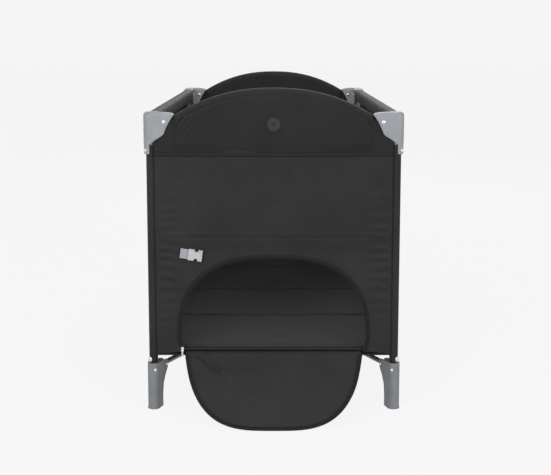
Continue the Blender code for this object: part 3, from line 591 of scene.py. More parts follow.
def softened(node, name, finish, width, body, angle=32):
    """A frame node's shape with rounded edges, standing for it."""
    shape = bmesh.new()
    shape.from_mesh(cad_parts[node].data)
    bmesh.ops.remove_doubles(shape, verts=shape.verts, dist=0.00002)
    bmesh.ops.dissolve_limit(shape, angle_limit=math.radians(2), verts=shape.verts, edges=shape.edges)
    item = finished(name, shape, finish, angle)
    bevel = item.modifiers.new("rounded_edges", "BEVEL")
    bevel.width = width
    bevel.segments = 2
    bevel.limit_method = "ANGLE"
    bevel.angle_limit = math.radians(angle)
    bevel.harden_normals = True
    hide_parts(node)
    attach(item, body)
    return item


def thicken(item):
    """Give a sheet its thickness, inwards."""
    wall = item.modifiers.new("cloth", "SOLIDIFY")
    wall.thickness = sizes().cloth
    wall.offset = -1.0


def gather_keep(reach, inset):
    """Share of its width that a piece keeps when it ends inset short of both posts, which stand at reach."""
    return (reach * FOLD_KEEP - inset) / (reach - inset)


def fold_across(item, inset=GROOVE_INSET):
    """Gives the piece its own mesh; the share of its width it would keep, gathering along X towards the left post of
    its end as the frame folds, is worked out and not used.
    """
    gather_keep(POST_X, inset)
    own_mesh(item)


def fold_along(item, inset=SIDE_INSET):
    """Gives the piece its own mesh; the share of its width it would keep, gathering along Y towards the front posts as
    the frame folds, is worked out and not used.
    """
    gather_keep(POST_Y, inset)
    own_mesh(item)


def sew_on(name, shape, finish, body):
    """A tape or cord sewn on an end wall, which rides with it."""
    item = finished(name, shape, finish)
    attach(item, body)
    fold_across(item)
    return item


# ---- cloth surfaces ----

def door_outline(grow=0.0):
    """Edge of the door as (x, z) from the right end of the sill over the top to the left end."""
    points = [(DOOR_SILL_HALF + grow, DOOR_SILL - grow)]
    steps = 64
    for i in range(steps + 1):
        angle = math.pi * i / steps
        across = math.copysign(abs(math.cos(angle)) ** (2 / DOOR_POWER), math.cos(angle))
        up = math.sin(angle) ** (2 / DOOR_POWER)
        points.append(((DOOR_HALF + grow) * across, DOOR_WAIST + (DOOR_TOP + grow - DOOR_WAIST) * up))
    points.append((-DOOR_SILL_HALF - grow, DOOR_SILL - grow))
    return points


def inside(point, outline):
    """True if a point lies inside a closed outline."""
    x, z = point
    found = False
    for (ax, az), (bx, bz) in zip(outline, outline[1:] + outline[:1]):
        if (az > z) != (bz > z) and x < ax + (z - az) * (bx - ax) / (bz - az):
            found = not found
    return found


def window_outline(grow=0.0):
    """Edge of a side window as (y, z)."""
    points = []
    radius = WINDOW_CORNER + grow
    for sy, sz, start in ((1, 1, 0), (-1, 1, 90), (-1, -1, 180), (1, -1, 270)):
        centre_y = sy * (WINDOW_HALF - WINDOW_CORNER)
        centre_z = WINDOW_HIGH - WINDOW_CORNER if sz > 0 else WINDOW_LOW + WINDOW_CORNER
        for i in range(9):
            angle = math.radians(start + 90 * i / 8)
            points.append((centre_y + radius * math.cos(angle), centre_z + radius * math.sin(angle)))
    return points


def bump(offset, width):
    """1 at no offset, falling away smoothly over the width."""
    return math.exp(-(offset / width) ** 2)


def drift(a, b, scale, seed):
    """Smooth noise from -1 to 1 over a sheet."""
    return noise.noise(Vector((a / scale, b / scale, seed)))


def end_plan():
    """Plan of an end wall's right half, from the middle round the post: (x, outward offset from the post row)."""
    points = [(0.0, WALL_OUT), (POST_X - 0.0125, WALL_OUT), (POST_X - 0.0108, WALL_OUT - 0.0006),
              (POST_X - 0.0096, WALL_OUT - 0.0030), (POST_X - 0.0086, WALL_OUT - 0.0030)]
    radius = WALL_OUT + 0.0002
    for i in range(15):
        angle = math.radians(128 - 12.5 * i)
        points.append((POST_X + radius * math.cos(angle), radius * math.sin(angle)))
    return points


def clear_of_lock(across, half, z, low, high):
    """How far a wall swells outwards in its middle, which leaves room for the rail lock as the frame folds."""
    middle_share = 1 - ease(abs(across), half * 0.35, half * 0.8)
    return LOCK_ROOM * middle_share * ease(z, low, low + 0.04) * (1 - ease(z, high - 0.02, high))


def hem(x):
    """Height of an end wall's lower edge: it rises to the sill, and the post sleeves reach lower."""
    if x > SLEEVE_START:
        return SLEEVE_FOOT
    return WALL_LOW + 0.006 * (1 - ease(x, DOOR_SILL_HALF, POST_X - 0.02))


def end_wall_place(side):
    """Maps shares of an end wall's cloth to places, with its seams, slack and creases."""
    plan = end_plan()
    runs = [0.0]
    for (ax, ay), (bx, by) in zip(plan, plan[1:]):
        runs.append(runs[-1] + math.hypot(bx - ax, by - ay))
    total = runs[-1]
    depth = sizes().seam
    slack = sizes().slack
    crease = sizes().crease

    def place(u, v):
        run = abs(2 * u - 1) * total
        sign = 1 if u >= 0.5 else -1
        i = 0
        while i < len(runs) - 2 and runs[i + 1] < run:
            i += 1
        share = (run - runs[i]) / (runs[i + 1] - runs[i])
        x = plan[i][0] + (plan[i + 1][0] - plan[i][0]) * share
        out = plan[i][1] + (plan[i + 1][1] - plan[i][1]) * share
        low = hem(x)
        z = low + (WALL_TOP - low) * v
        flat = max(0.0, min(1.0, (POST_X - 0.014 - x) / 0.02))
        hang = 0.5 + 0.5 * drift(sign * x * 0.6, z, 0.11, 3.1 * side)
        out += flat * slack * (hang - 0.35) + clear_of_lock(x, POST_X, z, DOOR_TOP + 0.012, WALL_TOP + 0.02)
        near = bump(POST_X - 0.012 - x, 0.045)
        level = bump(z - 0.385, 0.14)
        ripple = math.sin(z * math.tau / 0.026 + 2.6 * drift(sign * x, z, 0.05, 8.0 + sign))
        out += flat * near * level * crease * ripple
        out -= flat * depth * bump(z - MIDDLE_SEAM, 0.0030)
        out += flat * depth * 0.6 * bump(z - MIDDLE_SEAM - 0.008, 0.0045)
        out -= 0.0012 * bump(z - low - HEM_STITCH, 0.0014)
        return Vector((sign * x, side * (POST_Y + out), z))

    return place


def arch_z(x):
    """Height of an end's arched edge at x."""
    spring = RAIL_Z + 0.017
    share = min(abs(x) / WING_HALF, 1.0)
    return spring + (ARCH_TOP - spring) * (1 - share ** 2.25)


def arch_top(x):
    """Height of the padded arch at x, going down inside the corner brackets."""
    x = abs(x)
    if x <= WING_HALF:
        return arch_z(x)
    share = (x - WING_HALF) / (SLEEVE_START - WING_HALF)
    return RAIL_Z + 0.017 - 0.0085 * min(share * 6, 1) - 0.036 * max(share - 0.3, 0)


def ease(value, low, high):
    """0 below low, 1 above high, smooth between."""
    share = max(0.0, min(1.0, (value - low) / (high - low)))
    return share * share * (3 - 2 * share)


def off_path(point, path):
    """Distance of a point from a polyline, both as pairs."""
    x, z = point
    least = 1.0
    for (ax, az), (bx, bz) in zip(path, path[1:]):
        dx, dz = bx - ax, bz - az
        share = max(0.0, min(1.0, ((x - ax) * dx + (z - az) * dz) / (dx * dx + dz * dz)))
        least = min(least, math.hypot(x - ax - dx * share, z - az - dz * share))
    return least


def arch_place(side):
    """Maps shares of a padded arch's skin to places: u along X, v round its section from the outer foot."""
    edge = POST_X - 0.0108
    foot = SEAM_Z - 0.0012
    rim_path = [(x, arch_z(x) - 0.008) for x in (0, 0.04, 0.08, 0.12, 0.15, 0.18, 0.205, 0.225)]
    rim_path += [(WING_HALF - 0.010, RAIL_Z + 0.005), (WING_HALF + 0.004, RAIL_Z - 0.022), (WING_HALF + 0.012, SEAM_Z)]

    def place(u, v):
        x = (2 * u - 1) * edge
        top = arch_top(x)
        free = 1 - ease(abs(x), WING_HALF - 0.005, WING_HALF + 0.001)
        outer = 0.0110 + 0.0055 * free
        tongue = 1 - ease(abs(x), WING_HALF + 0.020, WING_HALF + 0.026)
        inner = -0.0092 + 0.0197 * tongue + 0.0055 * free
        rim = max(min((outer + inner) / 2, 0.0135), 0.0009)
        if v < OUTER_SHARE:
            share = v / OUTER_SHARE
            z = foot + (top - rim - foot) * share
            rise = ease(z, foot, foot + 0.030)
            start = 0.0108 + clear_of_lock(x, POST_X, foot, DOOR_TOP, RAIL_Z)
            out = start + (max(outer, start) - start) * rise
            out += 0.0010 * free * rise * drift(x, z, 0.09, 5.0 * side)
            beside = off_path((abs(x), z), rim_path)
            out += free * (0.0012 * bump(beside, 0.0035) - 0.0014 * bump(beside - 0.008, 0.003))
            puck = bump(abs(x) - WING_HALF + 0.012, 0.030) * ease(z, foot + 0.02, foot + 0.06)
            out += 0.0011 * free * puck * math.sin((abs(x) + 0.55 * z) * math.tau / 0.014 + 2 * drift(x, z, 0.04, 9.0))
        elif v < RIM_SHARE:
            turn = math.pi * (v - OUTER_SHARE) / 0.08
            centre = (outer - inner) / 2
            half = (outer + inner) / 2
            out = centre + half * math.cos(turn)
            z = top - rim + rim * math.sin(turn)
        else:
            share = (v - RIM_SHARE) / OUTER_SHARE
            z = top - rim + (foot - top + rim) * share
            rise = ease(z, foot + 0.004, foot + 0.034)
            out = 0.0104 - (0.0104 + inner) * rise
            out -= 0.0010 * free * rise * drift(x, z, 0.08, 7.0 * side)
        return Vector((x, side * (POST_Y + out), z))

    return place


def flap_profile(t):
    """Side view of the let-down flap at share t of its length: distance out from the hinge and height."""
    reach = FLAP_HIGH.y - FLAP_LOW.y - 0.003
    drop = FLAP_HIGH.z - 0.0022
    bow = 0.010 * math.sin(math.pi * t)
    return reach * t + bow * 0.7, drop * (1 - t) + 0.0006 * (1 - t) + 0.0040 * t * t + bow * 0.7


def flap_width(t):
    """Half width of the flap at share t of its length, as a share of that at its hinge."""
    return (1 - 0.155 * t) * (1 - t ** 3.2) ** (1 / 3.4)


# ---- operators ----

class PLAYPEN_OT_end_walls(bpy.types.Operator):
    """Front and back walls of sewn cloth with their post sleeves."""

    bl_idname = "playpen.end_walls"
    bl_label = "End walls"

    def execute(self, context):
        hole = door_outline(0.004)
        for name, side, node, body in (("front_wall", -1, "front_panel", "front_left_corner"),
                                       ("back_wall", 1, "back_panel", "back_left_corner")):
            shape = sheet_grid(250, 150, end_wall_place(side))
            if side < 0:
                cut_away(shape, lambda at: abs(at.x) < DOOR_HALF + 0.01 and inside((at.x, at.z), hole))
            turn_out(shape, 1, side)
            end = "front" if side < 0 else "back"
            posts = ["post_" + end + "_left", "post_" + end + "_right"]
            for word, sign in (("", 0), ("_sleeve_left", -1), ("_sleeve_right", 1)):
                part = shape.copy()
                edge = POST_X - GROOVE_INSET
                cut_away(part, lambda at: (abs(at.x) < edge) == bool(sign) or sign and at.x * sign < 0)
                area = face_area(part)
                item = finished(name + word, part, wall_fabric("end"))
                thicken(item)
                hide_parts(node)
                if sign:
                    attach(item, posts[sign > 0].replace("post_", "") + "_corner")
                else:
                    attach(item, body)
                    fold_across(item)
            shape.free()
        return {"FINISHED"}


class PLAYPEN_OT_arches(bpy.types.Operator):
    """Padded arches over the front and back rails."""

    bl_idname = "playpen.arches"
    bl_label = "Padded arches"

    def execute(self, context):
        for name, side, node, body in (("front_arch", -1, "front_arch_pad", "front_left_corner"),
                                       ("back_arch", 1, "back_arch_pad", "back_left_corner")):
            shape = sheet_grid(150, 96, arch_place(side))
            seal(shape, 0.00002)
            item = finished(name, shape, pad_fabric("end"), 60)
            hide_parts(node)
            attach(item, body)
            fold_across(item, POST_X - WING_HALF)
        return {"FINISHED"}


class PLAYPEN_OT_side_walls(bpy.types.Operator):
    """Side walls with a net window in each."""

    bl_idname = "playpen.side_walls"
    bl_label = "Side walls"

    def execute(self, context):
        half = POST_Y - SIDE_INSET
        high = SLEEVE_LOW + 0.004
        hole = window_outline()
        for word, side, body in (("left", -1, "front_left_corner"), ("right", 1, "front_right_corner")):
            def place(u, v):
                y = (2 * u - 1) * half
                z = WALL_LOW + (high - WALL_LOW) * v
                out = WALL_OUT - 0.0016 * ease(abs(y), half - 0.012, half)
                flat = 1 - ease(abs(y), half - 0.03, half)
                out += flat * sizes().slack * (0.2 + 0.6 * drift(y * 0.5, z, 0.12, 11.0 * side))
                out += clear_of_lock(y, half, z, WALL_LOW + 0.015, high)
                near = bump(half - abs(y), 0.05)
                out += flat * near * sizes().crease * math.sin(z * math.tau / 0.031 + 2 * drift(y, z, 0.06, 2.0))
                out -= 0.0012 * bump(z - WALL_LOW - HEM_STITCH, 0.0014)
                return Vector((side * (POST_X + out), y, z))

            shape = sheet_grid(300, 150, place)
            cut_away(shape, lambda at: inside((at.y, at.z), hole))
            turn_out(shape, 0, side)
            flat_area = face_area(shape)
            item = finished(word + "_side_wall", shape, wall_fabric("side"))
            thicken(item)
            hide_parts(word + "_wall")
            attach(item, body)
            fold_along(item)

            def net_place(u, v):
                y = (2 * u - 1) * (WINDOW_HALF + 0.006)
                z = WINDOW_LOW - 0.006 + (WINDOW_HIGH - WINDOW_LOW + 0.012) * v
                out = WALL_OUT - 0.0011 + 0.0006 * drift(y, z, 0.15, 4.0)
                out += clear_of_lock(y, half, z, WALL_LOW + 0.015, high)
                return Vector((side * (POST_X + out), y, z))

            shape = sheet_grid(90, 32, net_place)
            limit = window_outline(0.005)
            cut_away(shape, lambda at: not inside((at.y, at.z), limit))
            net = finished(word + "_net", shape, knitted("knitted_net", colours().net))
            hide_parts(word + "_window_net")
            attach(net, body)
            fold_along(net)

            path = [(side * (POST_X + WALL_OUT + 0.0004 + clear_of_lock(y, half, z, WALL_LOW + 0.015, high)), y, z)
                    for y, z in window_outline(0.001)]
            edge = sweep(even_path(path + path[:1], 0.012)[:-1], tape_profile(sizes().binding * 1.6, sizes().tape),
                         (side, 0, 0), closed=True)
            tape = finished(word + "_window_binding", edge, tape_and_groove_shade_finish())
            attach(tape, body)
            fold_along(tape)
        return {"FINISHED"}


class PLAYPEN_OT_rail_sleeves(bpy.types.Operator):
    """Padded sleeves over the side rails."""

    bl_idname = "playpen.rail_sleeves"
    bl_label = "Rail sleeves"

    def execute(self, context):
        for word, side, body in (("left", -1, "front_left_corner"), ("right", 1, "front_right_corner")):
            half_x = 0.0165
            half_z = (SLEEVE_HIGH - SLEEVE_LOW) / 2
            centre_z = (SLEEVE_HIGH + SLEEVE_LOW) / 2
            sides = 36

            def place(u, v):
                y = (2 * u - 1) * SLEEVE_HALF
                end = 1 - 0.10 * (1 - ease(SLEEVE_HALF - abs(y), 0.0, 0.012))
                angle = math.tau * (round(v * sides) % sides) / sides
                a = math.copysign(abs(math.cos(angle)) ** 0.62, math.cos(angle))
                b = math.copysign(abs(math.sin(angle)) ** 0.62, math.sin(angle))
                puff = 1 + 0.045 * drift(y, angle, 0.035, 6.0 * side) - 0.02
                return Vector((side * POST_X + half_x * a * end * puff, y, centre_z + half_z * b * end * puff))

            shape = sheet_grid(260, sides, place)
            seal(shape, 0.00002)
            item = finished(word + "_sleeve", shape, pad_fabric("side"), 60)
            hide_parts(word + "_rail_sleeve")
            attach(item, body)
            fold_along(item, POST_Y - SLEEVE_HALF)
        return {"FINISHED"}


class PLAYPEN_OT_floor(bpy.types.Operator):
    """Floor cloth in four sewn quarters, one over each base tube."""

    bl_idname = "playpen.floor"
    bl_label = "Floor"

    def execute(self, context):
        stretch_x, stretch_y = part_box("floor_panel")[1][:2]
        for corner, (sx, sy) in CORNERS.items():
            def place(u, v):
                x = sx * stretch_x * u
                y = sy * stretch_y * v
                dip = 0.0004 * drift(x, y, 0.1, 9.0)
                return Vector((x, y, FLOOR_Z - 0.0006 + dip))

            shape = sheet_grid(40, 70, place)
            bmesh.ops.recalc_face_normals(shape, faces=shape.faces)
            shape.faces.ensure_lookup_table()
            if shape.faces[0].normal.z < 0:
                bmesh.ops.reverse_faces(shape, faces=shape.faces)
            item = finished("floor_quarter_" + corner, shape, wall_fabric("level"))
            thicken(item)
            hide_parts("floor_panel")
            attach(item, "base_tube_" + corner)
            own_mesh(item)
        return {"FINISHED"}


class PLAYPEN_OT_mattress(bpy.types.Operator):
    """Four padded mattress sections in a sewn cover."""

    bl_idname = "playpen.mattress"
    bl_label = "Mattress"

    def execute(self, context):
        first = make_mattress_cover()
        start = Vector(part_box("mattress_section_1")[0])
        for number in range(1, 5):
            node = "mattress_section_" + str(number)
            shape = bmesh.new()
            shape.from_mesh(first)
            bmesh.ops.translate(shape, vec=Vector(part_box(node)[0]) - start, verts=shape.verts)
            if number % 2 == 0:
                centre = middle(node)
                bmesh.ops.rotate(shape, cent=centre, matrix=Matrix.Rotation(math.pi, 3, "Z"), verts=shape.verts)
            item = finished("mattress_pad_" + str(number), shape, cover_fabric(), 60)
            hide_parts(node)
            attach(item, node)
        return {"FINISHED"}


def make_mattress_cover():
    """Mesh of the first mattress section, swollen by its filling."""
    low, high = (Vector(corner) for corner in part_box("mattress_section_1"))
    margin = Vector((0.0003, 0.0003, 0.0))
    low += margin
    high -= margin
    shape = bmesh.new()
    bmesh.ops.create_cube(shape, size=1.0)
    bmesh.ops.scale(shape, vec=high - low, verts=shape.verts)
    bmesh.ops.translate(shape, vec=(low + high) / 2, verts=shape.verts)
    bmesh.ops.bevel(shape, geom=list(shape.edges), offset=0.0013, segments=2, affect="EDGES", profile=0.5,
                    material=-1)
    mesh = bpy.data.meshes.new("mattress_cover")
    shape.to_mesh(mesh)
    shape.free()
    item = bpy.data.objects.new("mattress_cover", mesh)
    bpy.context.scene.collection.objects.link(item)
    add_remesh(item, 0.005)
    return simulate(item, 18, 4.0, {"low": low, "high": high, "swell": sizes().swell})


def simulate(item, frames, pressure, limits):
    """Let the filling swell the cover, held inside its limits; returns the mesh."""
    mesh = evaluated_mesh(item)
    item.modifiers.clear()
    item.data = mesh
    rest = [vert.co.copy() for vert in mesh.vertices]
    held = item.vertex_groups.new(name="held")
    for i, co in enumerate(rest):
        if co.z < limits["low"].z + 0.004:
            held.add([i], 1.0, "REPLACE")
    cloth = item.modifiers.new("filling", "CLOTH")
    cloth.settings.use_pressure = True
    cloth.settings.uniform_pressure_force = pressure
    cloth.settings.quality = 5
    cloth.settings.mass = 0.3
    cloth.settings.tension_stiffness = 12
    cloth.settings.compression_stiffness = 12
    cloth.settings.bending_stiffness = 0.6
    cloth.settings.vertex_group_mass = "held"
    cloth.settings.effector_weights.gravity = 0
    cloth.point_cache.frame_start = 1
    cloth.point_cache.frame_end = frames
    scene = bpy.context.scene
    for step in range(1, frames + 1):
        scene.frame_set(step)
    depsgraph = bpy.context.evaluated_depsgraph_get()
    swollen = [vert.co.copy() for vert in item.evaluated_get(depsgraph).to_mesh().vertices]
    item.modifiers.clear()
    scene.frame_set(1)
    for vert, start, end in zip(mesh.vertices, rest, swollen):
        move = end - start
        top = ease(start.z, limits["high"].z - 0.006, limits["high"].z - 0.001)
        move.z = max(min(move.z, limits["swell"] * top), 0.0)
        move.z += top * 0.0009 * drift(start.x * 0.7, start.y, 0.055, 1.7)
        move.x = max(min(move.x, 0.0004), -0.0004)
        move.y = max(min(move.y, 0.0002), -0.0002)
        vert.co = start + move
    bpy.data.objects.remove(item, do_unlink=True)
    return mesh


class PLAYPEN_OT_door_flap(bpy.types.Operator):
    """Door flap let down in front of the sill, with its bound edge."""

    bl_idname = "playpen.door_flap"
    bl_label = "Door flap"

    def execute(self, context):
        half = FLAP_HIGH.x
        hinge_y = FLAP_HIGH.y - 0.0012

        def lie(x, t):
            out, z = flap_profile(t)
            wave = 0.0022 * drift(x, t * 0.2, 0.07, 12.0) * math.sin(math.pi * min(t * 1.1, 1))
            off = x + 0.214 - 0.275 * t
            fade = ease(t, 0.01, 0.05) * (1 - ease(t, 0.25, 0.45))
            fold = fade * (0.0065 * bump(off - 0.009, 0.008) - 0.0060 * bump(off, 0.005))
            return Vector((x, hinge_y - out - wave - fold * 0.6, z + wave + fold * 0.6))

        def place(u, v):
            t = 1 - (1 - v) ** 2
            return lie((2 * u - 1) * half * flap_width(t), t)

        shape = sheet_grid(110, 60, place)
        bmesh.ops.remove_doubles(shape, verts=shape.verts, dist=0.00005)
        bmesh.ops.dissolve_degenerate(shape, edges=shape.edges, dist=0.00005)
        bmesh.ops.recalc_face_normals(shape, faces=shape.faces)
        probe = max(shape.faces, key=lambda face: face.calc_area())
        if probe.normal.z < 0:
            bmesh.ops.reverse_faces(shape, faces=shape.faces)
        area = face_area(shape)
        item = finished("door_flap_cloth", shape, wall_fabric("level"))
        thicken(item)
        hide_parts("door_flap")
        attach(item, "door_flap")
        fold_across(item)

        shares = [1 - (1 - i / 40) ** 2 for i in range(1, 41)]
        slope = Vector((0, -0.71, 0.71))

        def round_path(across, down):
            right = [lie(half * flap_width(t) * across, t * down) for t in shares]
            return right + [lie(-half * flap_width(t) * across, t * down) for t in reversed(shares)]

        edge = sweep(even_path(round_path(1, 1), 0.004), ring(0.0040, 12, 0.55), slope)
        tape = sew_on("flap_binding", edge, tape_and_groove_shade_finish(), "door_flap")
        inner = [point + slope * 0.0012 for point in round_path(0.968, 0.975)]
        zipper = sweep(even_path(inner, 0.004), ring(0.0011, 8), slope)
        band = sew_on("flap_zip_tape", zipper, wall_fabric("level"), "door_flap")
        return {"FINISHED"}


class PLAYPEN_OT_door_edge(bpy.types.Operator):
    """Tape and zip round the door."""

    bl_idname = "playpen.door_edge"
    bl_label = "Door edge"

    def execute(self, context):
        face = -(POST_Y + WALL_OUT)
        path = [(x, face - 0.0006, z) for x, z in door_outline(0.0035)]
        edge = sweep(even_path(path, 0.004), tape_profile(sizes().binding, sizes().tape), (0, -1, 0))
        sew_on("door_binding", edge, tape_and_groove_shade_finish(), "front_left_corner")
        sill = [(DOOR_SILL_HALF * share, face + 0.0014, DOOR_SILL + 0.0032)
                for share in (-0.985, -0.5, 0, 0.5, 0.985)]
        cord = sweep(even_path(sill, 0.01), ring(0.0019, 10), (0, -1, 0))
        sew_on("sill_piping", cord, wall_fabric("end"), "front_left_corner")
        inner = [(x, face - 0.0002, z) for x, z in door_outline(-0.0006)]
        teeth = []
        spots = even_path(inner, sizes().tooth)
        for before, spot, after in zip(spots, spots[1:], spots[2:]):
            along = (after - before).normalized()
            turn = Matrix((along, Vector((0, -1, 0)), along.cross(Vector((0, -1, 0))))).transposed().to_4x4()
            tooth = bmesh.new()
            bmesh.ops.create_cube(tooth, size=1.0)
            bmesh.ops.scale(tooth, vec=(sizes().tooth * 0.55, 0.0010, 0.0030), verts=tooth.verts)
            bmesh.ops.transform(tooth, matrix=Matrix.Translation(spot) @ turn, verts=tooth.verts)
            teeth.append(tooth)
        nylon = moulded("black_nylon_coil", linear("#242425"), 0.40, 0.001, 0.0001)
        coil = finished("door_zip_teeth", join(teeth), nylon)
        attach(coil, "front_left_corner")
        fold_across(coil)
        return {"FINISHED"}


class PLAYPEN_OT_badge(bpy.types.Operator):
    """Plain round patch with a raised ring, on the front arch."""

    bl_idname = "playpen.badge"
    bl_label = "Badge"

    def execute(self, context):
        low, high = (Vector(corner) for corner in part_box("badge"))
        centre = (low + high) / 2
        radius = (high.x - low.x) / 2
        back = -(POST_Y + ARCH_SWELL)
        front = low.y - 0.0004
        depth = back - front
        section = ((0, 0), (1, 0), (1, 0.7), (0.965, 0.9), (0.93, 0.9), (0.90, 0.1), (0.82, 0.1), (0.79, 0.9),
                   (0.22, 0.95), (0.19, 0.2), (0, 0.2))
        points = [(radius * a, depth * b) for a, b in section]
        shape = turned(points, (centre.x, back, centre.z), (0, -1, 0), 48)
        rubber = moulded("black_rubber_patch", linear("#161617"), 0.62, 0.0012, 0.0002)
        item = finished("badge_patch", shape, rubber, 25)
        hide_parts("badge")
        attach(item, "front_left_corner")
        fold_across(item, inset=POST_X - WING_HALF)
        return {"FINISHED"}


class PLAYPEN_OT_piping(bpy.types.Operator):
    """Piping in the shoulder seam of each end, over a dark strip that is painted shade in the grooves beside the cord.
    """

    bl_idname = "playpen.piping"
    bl_label = "Piping"

    def execute(self, context):
        for word, side, body in (("front", -1, "front_left_corner"), ("back", 1, "back_left_corner")):
            reach = POST_X - 0.0095
            path = []
            for i in range(81):
                x = (2 * i / 80 - 1) * reach
                sag = 0.0016 * math.cos(math.pi * x / (2 * reach)) + 0.0006 * drift(x, 0, 0.05, 3.0)
                out = WALL_OUT + 0.0008 + clear_of_lock(x, POST_X, SEAM_Z, DOOR_TOP, RAIL_Z)
                path.append((x, side * (POST_Y + out), SEAM_Z - sag))
            cord = sweep(path, ring(sizes().piping, 10), (0, side, 0))
            sew_on(word + "_piping", cord, wall_fabric("end"), body)
            # A near-black strip wider than the cord, which paints the shade in the grooves on either side of the
            # piping
            seam = sweep(path, tape_profile(0.0105, 0.0006), (0, side, 0))
            sew_on(word + "_piping_groove_shade", seam, tape_and_groove_shade_finish(), body)
        return {"FINISHED"}


class PLAYPEN_OT_corners(bpy.types.Operator):
    """Moulded corner brackets and feet, with their rivets and the press studs of the sleeves."""

    bl_idname = "playpen.corners"
    bl_label = "Corners and feet"

    def execute(self, context):
        for corner, (sx, sy) in CORNERS.items():
            body = corner + "_corner"
            shell = finished("bracket_shell_" + corner, bracket_shell(corner), grey_moulding(), 180)
            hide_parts("corner_bracket_" + corner)
            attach(shell, body)
            softened("foot_" + corner, "foot_shell_" + corner, foot_moulding(), sizes().edge, body)
            post = Vector((sx * POST_X, sy * POST_Y, 0))
            heads = []
            height = 0.0018
            for facing in (1, -1):
                across_wing = post + Vector((-sx * RAIL_RIVET, facing * sy * BRACKET_FACE, RAIL_Z))
                heads.append(dome(across_wing, (0, facing * sy, 0), sizes().rivet, height))
                along_wing = post + Vector((facing * sx * BRACKET_FACE, -sy * RAIL_RIVET, RAIL_Z))
                heads.append(dome(along_wing, (facing * sx, 0, 0), sizes().rivet, height))
            diagonal = Vector((sx, sy, 0)).normalized()
            tab = diagonal * 0.0160 + Vector((0, 0, RAIL_Z - BRACKET_DROP - 0.0165))
            heads.append(dome(post + tab, diagonal, sizes().rivet, height))
            inward = Vector((-sx * POST_X, -sy * POST_Y, 0)).normalized()
            across = Vector((-inward.y, inward.x, 0))
            for sign in (-1, 1):
                pin = post + inward * BASE_PIN + across * sign * 0.0100 + Vector((0, 0, BASE_Z))
                heads.append(dome(pin, across * sign, sizes().rivet * 0.8, height))
            nose = Vector((-sx * 0.40, sy * 0.92, 0)).normalized()
            front = post + nose * 0.0152 + Vector((0, 0, BASE_Z - 0.001))
            heads.append(dome(front, nose, sizes().rivet * 0.8, height))
            rivets = finished("rivets_" + corner, join(heads), plated(), 50)
            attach(rivets, body)
            low_end = post + diagonal * 0.0108 + Vector((0, 0, SLEEVE_FOOT + 0.0095))
            stud = dome(low_end, diagonal, sizes().snap, 0.0030, 0.0012)
            snap = finished("press_stud_" + corner, stud, plated(), 50)
            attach(snap, body)
        return {"FINISHED"}


class PLAYPEN_OT_frame_finish(bpy.types.Operator):
    """Finishes of the tubes, the hub, the rail locks and their buttons."""

    bl_idname = "playpen.frame_finish"
    bl_label = "Frame finish"

    def execute(self, context):
        coat = moulded("powder_coated_steel", colours().steel, 0.38, 0.0016, 0.0001)
        button = moulded("black_nylon_button", linear("#262627"), 0.45, 0.001, 0.0001)
        # The second colour is the painted highlight on the strap's rib crests
        strap = ribbed("black_webbing", linear("#1e1e1f"), linear("#3a3a3b"), (1, 0, 0), 0.003)
        for name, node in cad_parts.items():
            if name.startswith(("post_", "base_tube_")) or "_rail_" in name and not name.endswith("sleeve"):
                repaint(node, coat)
            elif name.endswith("_button"):
                repaint(node, button)
            elif name == "hub_strap":
                repaint(node, strap)
        softened("hub", "hub_shell", grey_moulding(), sizes().edge, "hub")
        for word in ("front", "back", "left", "right"):
            node = word + "_latch"
            softened(node, word + "_rail_lock", grey_moulding(), sizes().edge, node)
        return {"FINISHED"}


def repaint(node, finish):
    """Give a frame node a material in place of its own."""
    if not node.data.materials:
        node.data.materials.append(finish)
    for spot in node.material_slots:
        spot.material = finish


class PLAYPEN_OT_door_fittings(bpy.types.Operator):
    """Buckle with its webbing, zip slider and pull."""

    bl_idname = "playpen.door_fittings"
    bl_label = "Door fittings"

    def execute(self, context):
        acetal = moulded("grey_acetal_buckle", colours().buckle, 0.36, 0.0012, 0.0001)
        softened("buckle", "buckle_shell", acetal, 0.0007, "buckle")
        # Lighter colour of the webbing's rib crests: painted highlight
        light = tuple(min(value * 1.5, 1.0) for value in colours().webbing)
        strap = ribbed("grey_webbing", colours().webbing, light, (0.14, 0, 1), 0.0032)
        softened("buckle_webbing", "buckle_strap", strap, 0.0004, "buckle")
        for node in ("zip_slider", "zip_pull"):
            softened(node, node + "_plated", plated(), 0.0003, node)
        return {"FINISHED"}


